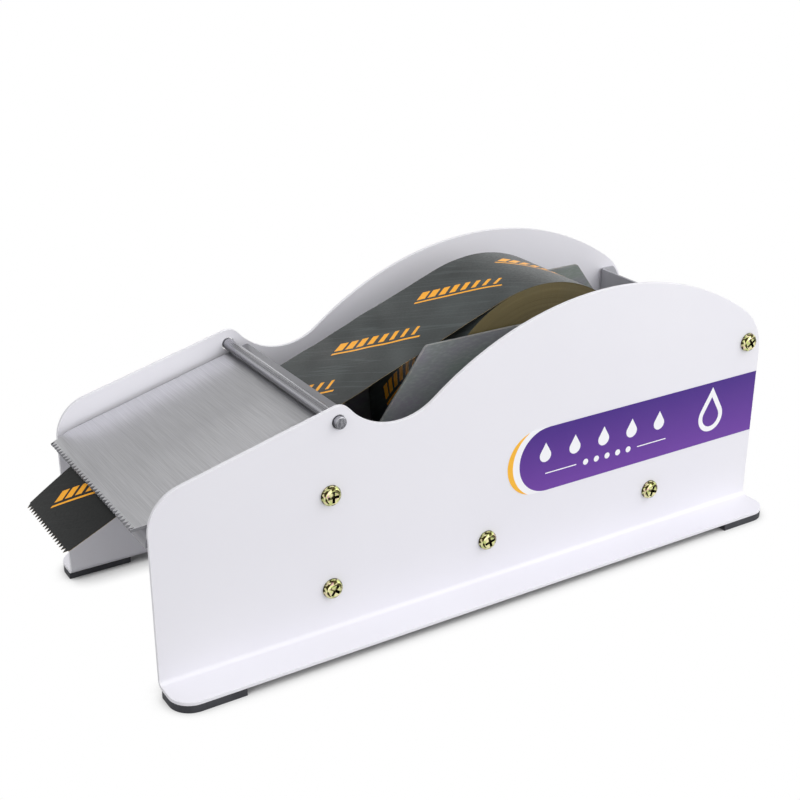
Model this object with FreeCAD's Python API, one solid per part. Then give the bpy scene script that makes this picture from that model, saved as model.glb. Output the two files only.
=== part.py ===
import FreeCAD, Part
import math
import os

# Gummed tape dispenser: two bent side plates joined by a floor tray, a tape table and a back plate.
# The tape comes off the top of a roll that turns on two cradle rollers, runs over a wetting roller
# and under a hinged flap, and is torn up against the flap's teeth.
# Millimetres. X runs from the tape exit to the rear, Y across, Z up. While building, x = 0 is the front
# edge of the side plates and z = 0 the counter; each piece is moved to the middle of the length at export.
# Left is -Y, right is +Y. Pieces of both sides are drawn on the right and mirrored for the left.

# ---- side plates ----
plate_length = 420.0
inner_width = 133.0
plate_thickness = 2.0
plate_bend = 2.5
flange_width = 24.0
flange_corner = 13.0
front_corner = 24.0
slant_degrees = 14.4
bump_radius = 9.0
dip_drop = 8.5
dip_radius = 39.0
hump_height = 174.0
hump_radius = 203.0
rear_corner = 38.0
rear_corner_drop = 65.4

# ---- feet ----
foot_height = 4.5
foot_length = 39.0

# ---- pivot rod and tear flap ----
rod_x = 109.7
rod_z = 131.9
rod_radius = 3.5
rod_overhang = 3.0
rod_chamfer = 0.4
rod_hole_gap = 0.5
rod_seat_gap = 0.06
flap_rear_reach = 11.1
flap_rear_corner = 1.5
flap_thickness = 1.5
flap_degrees = 15.0
flap_left_gap = 0.6
flap_right_gap = 3.4
flap_tip_x = -6.6
flap_taper_length = 12.5
flap_taper_depth = 4.7
tooth_pitch = 3.6
tooth_depth = 2.6
weld_start = 0.8
weld_leg = 3.8
weld_length = 12.0
weld_end_gap = 9.0

# ---- folded sheet inside ----
sheet = 1.5
sheet_bend = 2.0
sheet_corner = 3.0
sheet_seam = 1.0
table_opening_degrees = 1.4
table_nose_x = -1.2
table_nose_radius = 10.0
table_nose_lip = 0.6
table_flange_depth = 14.0
table_relief = 4.0
bulkhead_x = 93.5
bulkhead_flange = 18.0
bulkhead_flange_drop = 7.3
foot_fold = 18.0
floor_height = 8.0
tray_flange_height = 38.0
tray_end_gap = 2.0
flange_relief = 3.0
back_plate_drop = 42.4
back_flange = 18.2

# ---- tape and roll ----
tape_width = 70.0
tape_shift = -2.5
tape_thickness = 0.4
slide_gap = 0.3
roll_radius = 78.0
core_radius = 19.0
core_wall = 3.0
strip_tip_x = -33.0
strip_droop_degrees = 27.5
strip_fold_x = 4.5
strip_wrap_degrees = 12.0
strip_dip_degrees = 4.0
strip_dip_radius = 18.0

# ---- cradle rollers ----
cradle_radius = 8.0
cradle_axle_radius = 3.0
cradle_half_spacing = 42.0
cradle_floor_gap = 1.3
cradle_end_gap = 1.0
cradle_chamfer = 0.6
axle_end_gap = 0.3
running_gap = 0.05

# ---- guides ----
guide_front_gap = 25.7
guide_rear_gap = 3.6
guide_side_gap = 1.5
guide_top = 151.0
guide_long_inset = 58.0
guide_short_inset = 44.0
guide_slope_degrees = 37.0
guide_corner = 3.0
guide_notch_gap = 4.0
guide_foot_reach = 19.0
guide_foot_length = 40.0
guide_foot_inset = 8.0
guide_float = 0.1
guide_wall_space = 14.5
guide_closest = 24.0

# ---- thumb screws of the guides ----
thumb_offset = 10.0
thumb_shank_radius = 2.5
thumb_shank_gap = 0.3
thumb_neck_radius = 5.5
thumb_neck_height = 2.0
thumb_knob_radius = 8.0
thumb_knob_height = 9.0
thumb_knob_chamfer = 0.8
thumb_flute_radius = 1.3
thumb_flutes = 12
thumb_tip = 0.6
washer_radius = 6.5
washer_thickness = 1.0
slide_key_wall = 0.7
slide_key_gap = 0.1
slide_nut_width = 12.0
slide_nut_length = 13.0
slide_nut_thickness = 3.0

# ---- side screws and rivets ----
screw_radius = 3.0
screw_head_radius = 6.0
screw_head_height = 3.6
screw_head_crown = 3.2
screw_hole_gap = 0.2
cross_width = 1.7
cross_length = 7.0
cross_depth = 2.2
cross_turn = 37.0
nut_width = 10.0
nut_height = 5.0
screw_tip = 1.5
lower_screw_drop = 13.5
upper_screw_drop = 22.0
rear_screw_drop = 14.1
third_screw_x = 208.5
fourth_screw_x = 334.3
rivet_radius = 2.0
rivet_head_radius = 3.6
rivet_head_height = 1.4
rivet_crown = 1.1
foot_rivet_inset = 18.0
shelf_rivet_inset = 19.0

# ---- side label ----
label_bottom = 54.0
label_height = 41.5
label_length = 197.8
label_rear_gap = 0.5
label_thickness = 0.2

# ---- water tank and wetting roller ----
tank_rear_gap = 8.5
tank_length = 47.0
tank_side_gap = 8.5
tank_wall = 1.0
tank_rim_drop = 3.0
tank_rim_width = 1.6
tank_corner = 6.0
tank_play = 2.5
shelf_z = 38.0
shelf_lip = 8.0
shelf_overhang = 1.0
shelf_flange = 24.0
wetting_radius = 15.0
wetting_felt = 4.0
wetting_axle_radius = 3.0
wetting_end_play = 1.9
bush_wall = 0.95
bush_flange_width = 2.0
bush_flange = 1.0
bush_gap = 0.1
axle_overhang = 0.6

# ---- values that follow ----
half_inner = inner_width / 2
half_outer = half_inner + plate_thickness
half_flange = half_outer + flange_width
half_wall = half_inner - sheet - sheet_bend - sheet_seam
floor_top = floor_height + sheet
flange_start = floor_height + tray_flange_height + flange_relief
tray_rear_x = plate_length - tray_end_gap
bulkhead_rear_x = bulkhead_x + sheet
back_plate_rear_x = tray_rear_x - back_flange
back_plate_x = back_plate_rear_x - sheet
back_plate_top = hump_height - back_plate_drop
rear_corner_centre = (plate_length - rear_corner, hump_height - rear_corner_drop)
guide_front_x = bulkhead_rear_x + foot_fold + guide_front_gap
guide_rear_x = back_plate_x - guide_rear_gap
roll_x = (guide_front_x + guide_rear_x) / 2
tape_near = tape_shift - tape_width / 2
tape_far = tape_shift + tape_width / 2
slant = math.radians(slant_degrees)
flap_tilt = math.radians(flap_degrees)
table_degrees = flap_degrees - table_opening_degrees
table_tilt = math.radians(table_degrees)
droop = math.radians(strip_droop_degrees)
strip_dip = math.radians(strip_dip_degrees)
flap_left = flap_left_gap - half_inner
flap_right = half_inner - flap_right_gap
seat_radius = rod_radius + rod_seat_gap
flap_rear_x = rod_x + flap_rear_reach
core_bore = core_radius - core_wall
cradle_z = floor_top + cradle_floor_gap + cradle_radius
roll_z = cradle_z + math.sqrt((roll_radius + cradle_radius + slide_gap) ** 2 - cradle_half_spacing ** 2)
origin_x = (plate_length + strip_tip_x) / 2


# ---- drawing helpers: plane figures are lists of (a, b) pairs laid in the XZ, YZ or XY plane ----

def vector(point, plane):
    a, b = point
    return {"xz": FreeCAD.Vector(a, 0, b), "yz": FreeCAD.Vector(0, a, b), "xy": FreeCAD.Vector(a, b, 0)}[plane]


def on_circle(centre, radius, angle):
    return (centre[0] + radius * math.cos(angle), centre[1] + radius * math.sin(angle))


def line(start, end, plane="xz"):
    return Part.LineSegment(vector(start, plane), vector(end, plane)).toShape()


def arc(centre, radius, start, end, plane="xz"):
    """Arc about a centre between two angles, measured from the plane's first axis."""
    marks = [on_circle(centre, radius, angle) for angle in (start, (start + end) / 2, end)]
    return Part.Arc(*[vector(mark, plane) for mark in marks]).toShape()


def filled(edges):
    return Part.Face(Part.Wire(edges))


def polygon(points, plane="xz"):
    return filled([line(a, b, plane) for a, b in zip(points, points[1:] + points[:1])])


def rectangle(low, high):
    return [(low[0], low[1]), (high[0], low[1]), (high[0], high[1]), (low[0], high[1])]


def rounded_path(points, radii, plane):
    """Edges through the points, with an arc of the given radius at each inner point."""
    edges = []
    start = points[0]
    for before, corner, after, radius in zip(points, points[1:], points[2:], radii):
        into = math.atan2(corner[1] - before[1], corner[0] - before[0])
        out = math.atan2(after[1] - corner[1], after[0] - corner[0])
        turn = math.remainder(out - into, 2 * math.pi)
        reach = radius * math.tan(abs(turn) / 2)
        first = on_circle(corner, -reach, into)
        side = math.copysign(math.pi / 2, turn)
        centre = on_circle(first, radius, into + side)
        edges.append(line(start, first, plane))
        edges.append(arc(centre, radius, into - side, into - side + turn, plane))
        start = on_circle(corner, reach, out)
    edges.append(line(start, points[-1], plane))
    return edges


def rounded_polygon(points, radius, plane="xz"):
    middle = ((points[-1][0] + points[0][0]) / 2, (points[-1][1] + points[0][1]) / 2)
    return filled(rounded_path([middle, *points, middle], [radius] * len(points), plane))


def folded_sheet(points, thickness, folds, plane="xz"):
    """Section of a folded sheet. The points run along its left face and folds are its inside radii."""
    angles = [math.atan2(b[1] - a[1], b[0] - a[0]) for a, b in zip(points, points[1:])]
    right = [on_circle(points[0], thickness, angles[0] - math.pi / 2)]
    left_radii = []
    right_radii = []
    for corner, into, out, fold in zip(points[1:], angles, angles[1:], folds):
        turn = math.remainder(out - into, 2 * math.pi)
        right.append(on_circle(corner, thickness / math.cos(turn / 2), into + turn / 2 - math.pi / 2))
        left_radii.append(fold if turn > 0 else fold + thickness)
        right_radii.append(fold + thickness if turn > 0 else fold)
    right.append(on_circle(points[-1], thickness, angles[-1] - math.pi / 2))
    edges = rounded_path(points, left_radii, plane)
    edges.append(line(points[-1], right[-1], plane))
    edges += rounded_path(right[::-1], right_radii[::-1], plane)
    edges.append(line(right[0], points[0], plane))
    return filled(edges)


def along_x(face, start, end):
    return face.translated(FreeCAD.Vector(start, 0, 0)).extrude(FreeCAD.Vector(end - start, 0, 0))


def along_y(face, start, end):
    return face.translated(FreeCAD.Vector(0, start, 0)).extrude(FreeCAD.Vector(0, end - start, 0))


def along_z(face, start, end):
    return face.translated(FreeCAD.Vector(0, 0, start)).extrude(FreeCAD.Vector(0, 0, end - start))


def block(low, high):
    return Part.makeBox(*[b - a for a, b in zip(low, high)], FreeCAD.Vector(*low))


def bar_x(y, z, radius, start, end):
    return Part.makeCylinder(radius, end - start, FreeCAD.Vector(start, y, z), FreeCAD.Vector(1, 0, 0))


def bar_y(x, z, radius, start, end):
    return Part.makeCylinder(radius, end - start, FreeCAD.Vector(x, start, z), FreeCAD.Vector(0, 1, 0))


def bar_z(x, y, radius, start, end):
    return Part.makeCylinder(radius, end - start, FreeCAD.Vector(x, y, start), FreeCAD.Vector(0, 0, 1))


def rims(shape, inside=None):
    """Circular edges of a shape, all of them or those whose centre passes the test."""
    circles = [edge for edge in shape.Edges if isinstance(edge.Curve, Part.Circle)]
    return [edge for edge in circles if inside is None or inside(edge)]


def moved(shape, x, y, z):
    return shape.translated(FreeCAD.Vector(x, y, z))


def unmoved(shape):
    return shape


def mirrored(shape):
    return shape.mirror(FreeCAD.Vector(0, 0, 0), FreeCAD.Vector(0, 1, 0))


def turned(shape):
    """Half a turn about the upright line through the roll's middle: the same part on the other side."""
    return shape.rotated(FreeCAD.Vector(roll_x, 0, 0), FreeCAD.Vector(0, 0, 1), 180)


def on_both_sides(shape):
    return [shape, mirrored(shape)]


def joined(shapes):
    return shapes[0].fuse(shapes[1:]).removeSplitter()


# ---- tape path: the tape lies under the flap, and the table follows the tape ----

def flap_face(x):
    """Height of the flap's upper face, which lies against the underside of the rod."""
    return rod_z - seat_radius / math.cos(flap_tilt) + (x - rod_x) * math.tan(flap_tilt)


strip_fold_z = flap_face(strip_fold_x) - (flap_thickness + slide_gap) / math.cos(flap_tilt)


def tape_top(x):
    """Height of the tape's upper face between the flap's tip and the rod."""
    return strip_fold_z + (x - strip_fold_x) * math.tan(table_tilt)


def table_top(x):
    return tape_top(x) - (tape_thickness + slide_gap) / math.cos(table_tilt)


# ---- heights and places that hang on the tape path ----

bulkhead_flange_top = table_top(bulkhead_rear_x) - bulkhead_flange_drop
lower_screw_z = floor_height + tray_flange_height - lower_screw_drop
table_screw_x = bulkhead_rear_x + bulkhead_flange / 2
back_screw_x = back_plate_rear_x + back_flange / 2
screw_places = [
    (table_screw_x, bulkhead_flange_top - upper_screw_drop),
    (table_screw_x, lower_screw_z),
    (third_screw_x, lower_screw_z),
    (fourth_screw_x, lower_screw_z),
    (back_screw_x, back_plate_top - rear_screw_drop),
]
tank_rear_x = bulkhead_x - tank_rear_gap
tank_front_x = tank_rear_x - tank_length
tank_half_width = half_inner - tank_side_gap
tank_rim_z = table_top(tank_front_x) - sheet / math.cos(table_tilt) - tank_rim_drop
wetting_x = (tank_front_x + tank_rear_x) / 2
wetting_drop = (tape_thickness + slide_gap + wetting_radius) / math.cos(table_tilt)
wetting_z = tape_top(wetting_x) - wetting_drop
wetting_core_radius = wetting_radius - wetting_felt
bush_radius = wetting_axle_radius + running_gap + bush_wall
bush_start_y = tank_half_width - tank_wall - bush_gap - bush_flange
wetting_half_length = bush_start_y - wetting_end_play
shelf_half_width = tank_half_width + shelf_overhang
foot_rivet_ys = (-half_wall + foot_rivet_inset, 0.0, half_wall - foot_rivet_inset)
foot_rivet_xs = (bulkhead_rear_x + foot_fold / 2, back_plate_rear_x + foot_fold / 2)
shelf_rivet_z = shelf_z - shelf_flange / 2
shelf_rivet_y = shelf_half_width - shelf_rivet_inset


# ---- side plates and feet ----

def plate_outline():
    """Side view of a plate: a straight slant and a chain of arcs, each tangent to the next."""
    up = slant + math.pi / 2
    rod = (rod_x, rod_z)
    slant_at_corner = rod_z + bump_radius / math.cos(slant) + (front_corner - rod_x) * math.tan(slant)
    front = (front_corner, slant_at_corner - front_corner / math.cos(slant))
    dip_z = rod_z - dip_drop + dip_radius
    dip = (rod_x + math.sqrt((bump_radius + dip_radius) ** 2 - (dip_z - rod_z) ** 2), dip_z)
    hump_z = hump_height - hump_radius
    hump = (dip[0] + math.sqrt((hump_radius + dip_radius) ** 2 - (dip_z - hump_z) ** 2), hump_z)
    rear = rear_corner_centre
    run = rear[0] - hump[0]
    back_radius = (run ** 2 + rear_corner_drop ** 2 - rear_corner ** 2) / (2 * (rear_corner_drop - rear_corner))
    back = (hump[0], hump_height - back_radius)
    to_dip = math.atan2(dip[1] - rod[1], dip[0] - rod[0])
    to_hump = math.atan2(dip[1] - hump[1], dip[0] - hump[0])
    to_rear = math.atan2(rear[1] - back[1], rear[0] - back[0])
    return filled([
        line((0, 0), (0, front[1])),
        arc(front, front_corner, math.pi, up),
        line(on_circle(front, front_corner, up), on_circle(rod, bump_radius, up)),
        arc(rod, bump_radius, up, to_dip),
        arc(dip, dip_radius, to_dip - math.pi, to_hump - math.pi),
        arc(hump, hump_radius, to_hump, math.pi / 2),
        arc(back, back_radius, math.pi / 2, to_rear),
        arc(rear, rear_corner, to_rear, 0),
        line((plate_length, rear[1]), (plate_length, 0)),
        line((plate_length, 0), (0, 0)),
    ])


def flange_column(start, end):
    """Upright column over the flange from start to end, with the plate's outer corners rounded."""
    inner = half_inner
    plan = rounded_path([(0, inner), (0, half_flange), (plate_length, half_flange), (plate_length, inner)],
                        [flange_corner, flange_corner], "xy")
    plan.append(line((plate_length, inner), (0, inner), "xy"))
    column = along_z(filled(plan), 0, hump_height)
    return column.common(block((start, inner, 0), (end, half_flange, hump_height)))


def screw_holes(places, radius):
    return [bar_y(x, z, radius, half_inner - sheet - 1, half_outer + 1) for x, z in places]


def side_plate():
    section = folded_sheet(
        [(half_flange, foot_height), (half_inner, foot_height), (half_inner, hump_height)],
        plate_thickness, [plate_bend], "yz")
    plate = along_x(section, 0, plate_length)
    plate = plate.common(along_y(plate_outline(), 0, half_flange))
    plate = plate.common(flange_column(0, plate_length))
    rod_hole = bar_y(rod_x, rod_z, rod_radius + rod_hole_gap, half_inner - 1, half_outer + 1)
    return plate.cut([rod_hole, *screw_holes(screw_places, screw_radius + screw_hole_gap)])


def foot(start, end):
    """Rubber pad under one end of the flange, outside its bend."""
    inner = half_inner + plate_bend + plate_thickness
    return flange_column(start, end).common(block((start, inner, 0), (end, half_flange, foot_height)))


def side_label():
    """Printed film on the left plate's outer face, with a round front end."""
    end = plate_length - label_rear_gap
    radius = label_height / 2
    middle = (end - label_length + radius, label_bottom + radius)
    top = label_bottom + label_height
    film = filled([
        arc(middle, radius, math.pi / 2, 3 * math.pi / 2),
        line((middle[0], label_bottom), (end, label_bottom)),
        line((end, label_bottom), (end, top)),
        line((end, top), (middle[0], top)),
    ])
    return along_y(film, -half_outer - label_thickness, -half_outer)


# ---- pivot rod and tear flap: the rod is welded on the flap and turns in the side plates ----

def pivot_rod():
    end = half_outer + rod_overhang
    rod = bar_y(rod_x, rod_z, rod_radius, -end, end)
    return rod.makeChamfer(rod_chamfer, rims(rod))


def tooth_comb(tip, left, right):
    """Cutter that leaves a row of V-shaped teeth with their points at x = tip."""
    count = int((right - left) / tooth_pitch)
    start = (left + right - count * tooth_pitch) / 2
    root = tip + tooth_depth
    points = [(tip - tooth_depth, left), (root, left)]
    for index in range(count):
        points.append((root, start + index * tooth_pitch))
        points.append((tip, start + (index + 0.5) * tooth_pitch))
    points += [(root, start + count * tooth_pitch), (root, right), (tip - tooth_depth, right)]
    distinct = [points[0]] + [b for a, b in zip(points, points[1:]) if math.dist(a, b) > 1e-6]
    return along_z(polygon(distinct, "xy"), 0, hump_height)


def tear_flap():
    """Flat flap that passes below the rod, with tapered front sides and teeth."""
    profile = folded_sheet([(flap_tip_x, flap_face(flap_tip_x)), (flap_rear_x, flap_face(flap_rear_x))],
                           flap_thickness, [])
    flap = along_y(profile, flap_left, flap_right)
    rear_corners = [edge for edge in flap.Edges
                    if edge.BoundBox.XMin > flap_rear_x - flap_thickness and edge.BoundBox.YLength < flap_thickness]
    flap = flap.makeFillet(flap_rear_corner, rear_corners)
    taper_end = flap_tip_x + flap_taper_length
    outside = flap_tip_x - tooth_depth
    tapers = []
    for edge, inward in ((flap_left, 1), (flap_right, -1)):
        inset = edge + inward * flap_taper_depth
        corners = [(outside, inset), (flap_tip_x, inset), (taper_end, edge), (outside, edge - inward)]
        tapers.append(along_z(polygon(corners, "xy"), 0, hump_height))
    comb = tooth_comb(flap_tip_x, flap_left + flap_taper_depth, flap_right - flap_taper_depth)
    return flap.cut([*tapers, comb])


def flap_welds():
    """Three beads that join the rod to the flap, in the corner behind the rod."""
    foot = (rod_x + seat_radius * math.sin(flap_tilt), rod_z - seat_radius * math.cos(flap_tilt))
    start = on_circle(foot, weld_start, flap_tilt)
    corner = on_circle(foot, weld_leg, flap_tilt)
    side = on_circle((rod_x, rod_z), seat_radius, flap_tilt - math.pi / 9)
    section = polygon([start, corner, side, (rod_x, rod_z)])
    rod = bar_y(rod_x, rod_z, rod_radius, flap_left, flap_right)
    middle = (flap_left + flap_right - weld_length) / 2
    beads = []
    for y in (flap_left + weld_end_gap, middle, flap_right - weld_end_gap - weld_length):
        beads.append(along_y(section, y, y + weld_length).cut(rod))
    return Part.makeCompound(beads)


# ---- tape ----

def tape_strip():
    """The tape from its torn end over the table, slack below the flap's turning rear edge, and up to the roll."""
    tip = (strip_tip_x, strip_fold_z - (strip_fold_x - strip_tip_x) * math.tan(droop))
    fold = (strip_fold_x, strip_fold_z)
    rod = (rod_x, rod_z)
    centre = (roll_x, roll_z)
    inner = roll_radius + slide_gap
    outer = inner + tape_thickness
    flap_rear_foot = on_circle((flap_rear_x, flap_face(flap_rear_x)), flap_thickness, flap_tilt - math.pi / 2)
    room = math.dist(rod, flap_rear_foot) + slide_gap
    rise = math.asin((outer + room) / math.dist(rod, centre)) + math.atan2(centre[1] - rod[1], centre[0] - rod[0])
    start = rise + math.pi / 2
    end = start - math.radians(strip_wrap_degrees)
    edge_radius = sheet_bend + sheet
    edge_x = bulkhead_rear_x - edge_radius
    edge = (edge_x, table_top(edge_x) - edge_radius / math.cos(table_tilt))
    over = edge_radius + slide_gap + tape_thickness
    half_turn = (table_tilt + strip_dip) / 2
    crest = on_circle(edge, over / math.cos(half_turn), math.pi / 2 + table_tilt - half_turn)
    below_rod = on_circle(rod, room, rise - math.pi / 2)
    run = ((below_rod[1] - crest[1]) - (below_rod[0] - crest[0]) * math.tan(rise)) / \
        -(math.tan(strip_dip) + math.tan(rise))
    trough = (crest[0] + run, crest[1] - run * math.tan(strip_dip))
    flat = folded_sheet([tip, fold, crest, trough, on_circle(centre, outer, start)], tape_thickness,
                        [table_nose_radius, edge_radius + slide_gap, strip_dip_radius])
    wrap = filled([
        arc(centre, outer, start, end),
        line(on_circle(centre, outer, end), on_circle(centre, inner, end)),
        arc(centre, inner, end, start),
        line(on_circle(centre, inner, start), on_circle(centre, outer, start)),
    ])
    strip = joined([along_y(flat, tape_near, tape_far), along_y(wrap, tape_near, tape_far)])
    return strip.cut(tooth_comb(strip_tip_x, tape_near, tape_far))


def tape_roll():
    solid = bar_y(roll_x, roll_z, roll_radius, tape_near, tape_far)
    return solid.cut(bar_y(roll_x, roll_z, core_radius, tape_near, tape_far))


def roll_core():
    solid = bar_y(roll_x, roll_z, core_radius, tape_near, tape_far)
    return solid.cut(bar_y(roll_x, roll_z, core_bore, tape_near, tape_far))


# ---- tape table, floor tray and back plate ----

def wall_channel(front, flange, top):
    """Upright cross wall above the tray's flanges, with its own flanges folded to the rear."""
    end = front + sheet + flange
    plan = folded_sheet([(end, -half_inner), (front, -half_inner), (front, half_inner), (end, half_inner)],
                        sheet, [sheet_bend, sheet_bend], "xy")
    return along_z(plan, flange_start, top)


def foot_rivet_holes(x):
    return [bar_z(x, y, rivet_radius, floor_height - 1, floor_top + sheet + 1) for y in foot_rivet_ys]


def laid_on_table(shape, x):
    """Tilts a shape drawn along the X axis to the table's slope and sets it on the table at x."""
    tilted = shape.rotated(FreeCAD.Vector(0, 0, 0), FreeCAD.Vector(0, 1, 0), -table_degrees)
    return moved(tilted, x, 0, table_top(x))


def tape_table():
    """One sheet: nose, sloping top with flanged edges, bulkhead with flanges, and foot."""
    nose_top = table_top(table_nose_x)
    nose_drop = table_nose_radius * math.tan((math.pi / 2 - table_tilt) / 2) + table_nose_lip
    section = folded_sheet([
        (table_nose_x, nose_top - nose_drop),
        (table_nose_x, nose_top),
        (bulkhead_rear_x, table_top(bulkhead_rear_x)),
        (bulkhead_rear_x, floor_top + sheet),
        (bulkhead_rear_x + foot_fold, floor_top + sheet),
    ], sheet, [table_nose_radius - sheet, sheet_bend, sheet_bend])
    body = along_y(section, -half_inner, half_inner)
    edge_x = table_nose_x + table_nose_radius
    edge_length = (bulkhead_x - table_relief - edge_x) / math.cos(table_tilt)
    edge_room = block((0, half_wall, -2 * sheet), (edge_length, half_inner + 1, sheet))
    wall_room = block((bulkhead_x - 1, half_wall, 0),
                      (bulkhead_rear_x + foot_fold + 1, half_inner + 1,
                       table_top(bulkhead_rear_x) - 2 * sheet_bend - sheet))
    body = body.cut([*on_both_sides(laid_on_table(edge_room, edge_x)), *on_both_sides(wall_room)])
    edge_section = folded_sheet([(half_wall, 0), (half_inner, 0), (half_inner, -table_flange_depth)],
                                sheet, [sheet_bend], "yz")
    edge_flange = laid_on_table(along_x(edge_section, 0, edge_length), edge_x)
    body = joined([body, *on_both_sides(edge_flange),
                   wall_channel(bulkhead_x, bulkhead_flange, bulkhead_flange_top)])
    window = rounded_polygon(
        rectangle((tank_front_x - tank_play, -tank_half_width - tank_play),
                  (tank_rear_x + tank_play, tank_half_width + tank_play)), sheet_corner, "xy")
    holes = [along_z(window, shelf_z, hump_height), *foot_rivet_holes(foot_rivet_xs[0])]
    for hole in screw_holes(screw_places[:1], screw_radius + screw_hole_gap):
        holes += on_both_sides(hole)
    for y in (-shelf_rivet_y, shelf_rivet_y):
        holes.append(bar_x(y, shelf_rivet_z, rivet_radius, bulkhead_x - 1, bulkhead_rear_x + 1))
    return body.cut(holes)


def thumb_xs():
    """Places of the guides' thumb screws along the length."""
    reach = guide_foot_inset + guide_foot_length / 2
    return (guide_front_x + reach, guide_rear_x - reach)


def floor_tray():
    top = floor_height + tray_flange_height
    section = folded_sheet([(half_inner, top), (half_inner, floor_height), (-half_inner, floor_height),
                            (-half_inner, top)], sheet, [sheet_bend, sheet_bend], "yz")
    tray = along_x(section, bulkhead_x, tray_rear_x)
    outline = rounded_polygon(rectangle((bulkhead_x, -sheet_corner * 3), (tray_rear_x, top)), sheet_corner)
    tray = tray.common(along_y(outline, -half_inner, half_inner))
    holes = foot_rivet_holes(foot_rivet_xs[0]) + foot_rivet_holes(foot_rivet_xs[1])
    for hole in screw_holes(screw_places[1:4], screw_radius + screw_hole_gap):
        holes += on_both_sides(hole)
    for x in (roll_x - cradle_half_spacing, roll_x + cradle_half_spacing):
        holes.append(bar_y(x, cradle_z, cradle_axle_radius + running_gap, -half_inner - 1, half_inner + 1))
    half_slot = thumb_shank_radius + slide_key_wall + slide_key_gap
    slot_start = guide_closest - thumb_offset - slide_nut_length / 2 - thumb_shank_gap
    slot_end = half_inner - guide_wall_space - thumb_offset + slide_nut_length / 2 + thumb_shank_gap
    for x in thumb_xs():
        slot = block((x - half_slot, slot_start, floor_height - 1), (x + half_slot, slot_end, floor_top + 1))
        holes += on_both_sides(slot)
    return tray.cut(holes)


def back_plate():
    section = folded_sheet([
        (back_plate_rear_x, back_plate_top),
        (back_plate_rear_x, floor_top + sheet),
        (back_plate_rear_x + foot_fold, floor_top + sheet),
    ], sheet, [sheet_bend])
    plate = joined([along_y(section, -half_wall, half_wall),
                    wall_channel(back_plate_x, back_flange, back_plate_top)])
    corner_room = block((rear_corner_centre[0], -half_inner - 1, rear_corner_centre[1]),
                        (plate_length, half_inner + 1, hump_height))
    rounding = bar_y(*rear_corner_centre, rear_corner - tray_end_gap, -half_inner - 1, half_inner + 1)
    holes = [corner_room.cut(rounding), *foot_rivet_holes(foot_rivet_xs[1])]
    for hole in screw_holes(screw_places[4:], screw_radius + screw_hole_gap):
        holes += on_both_sides(hole)
    return plate.cut(holes)


# ---- water tank and wetting roller ----

def tank_shelf():
    """Angle riveted to the bulkhead, with a front lip that keeps the tank in place."""
    lip_x = tank_front_x - tank_play
    section = folded_sheet([
        (lip_x, shelf_z + shelf_lip),
        (lip_x, shelf_z),
        (bulkhead_x, shelf_z),
        (bulkhead_x, shelf_z - shelf_flange),
    ], sheet, [sheet_bend, sheet_bend])
    shelf = along_y(section, -shelf_half_width, shelf_half_width)
    holes = [bar_x(y, shelf_rivet_z, rivet_radius, bulkhead_x - sheet - 1, bulkhead_x + 1)
             for y in (-shelf_rivet_y, shelf_rivet_y)]
    return shelf.cut(holes)


def tank_figure(offset):
    """Plan of the tank, grown outwards by the offset."""
    low = (tank_front_x - offset, -tank_half_width - offset)
    high = (tank_rear_x + offset, tank_half_width + offset)
    return rounded_polygon(rectangle(low, high), tank_corner + offset, "xy")


def water_tank():
    """Open tank with an outward rim, and a slot in each end for the roller's bush."""
    tank = joined([along_z(tank_figure(0), shelf_z, tank_rim_z),
                   along_z(tank_figure(tank_rim_width), tank_rim_z - tank_wall, tank_rim_z)])
    tank = tank.cut(along_z(tank_figure(-tank_wall), shelf_z + tank_wall, tank_rim_z + 1))
    slot_radius = bush_radius + bush_gap
    end = tank_half_width + tank_rim_width + 1
    start = tank_half_width - tank_wall - 1
    slot = joined([
        bar_y(wetting_x, wetting_z, slot_radius, start, end),
        block((wetting_x - slot_radius, start, wetting_z), (wetting_x + slot_radius, end, tank_rim_z + 1)),
    ])
    return tank.cut(on_both_sides(slot))


def tank_bushes():
    flange = bar_y(wetting_x, wetting_z, bush_radius + bush_flange_width, bush_start_y, bush_start_y + bush_flange)
    neck = bar_y(wetting_x, wetting_z, bush_radius, bush_start_y, tank_half_width)
    bore = bar_y(wetting_x, wetting_z, wetting_axle_radius + running_gap, bush_start_y, tank_half_width)
    return Part.makeCompound(on_both_sides(joined([flange, neck]).cut(bore)))


def wetting_tube(outer, inner):
    end = wetting_half_length
    solid = bar_y(wetting_x, wetting_z, outer, -end, end)
    return solid.cut(bar_y(wetting_x, wetting_z, inner, -end, end))


def wetting_axle():
    end = tank_half_width + axle_overhang
    return bar_y(wetting_x, wetting_z, wetting_axle_radius, -end, end)


# ---- cradle rollers ----

def cradle_roller(x):
    end = half_inner - sheet - cradle_end_gap
    roller = bar_y(x, cradle_z, cradle_radius, -end, end)
    roller = roller.makeChamfer(cradle_chamfer, rims(roller))
    return roller.cut(bar_y(x, cradle_z, cradle_axle_radius + running_gap, -end, end))


def cradle_axle(x):
    end = half_inner - axle_end_gap
    return bar_y(x, cradle_z, cradle_axle_radius, -end, end)


# ---- guides and their thumb screws: inner is the distance from the middle to the guide's tape side ----

guide_foot_top = floor_top + guide_float + sheet
washer_top = guide_foot_top + washer_thickness
slide_nut_top = floor_height - guide_float


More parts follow.
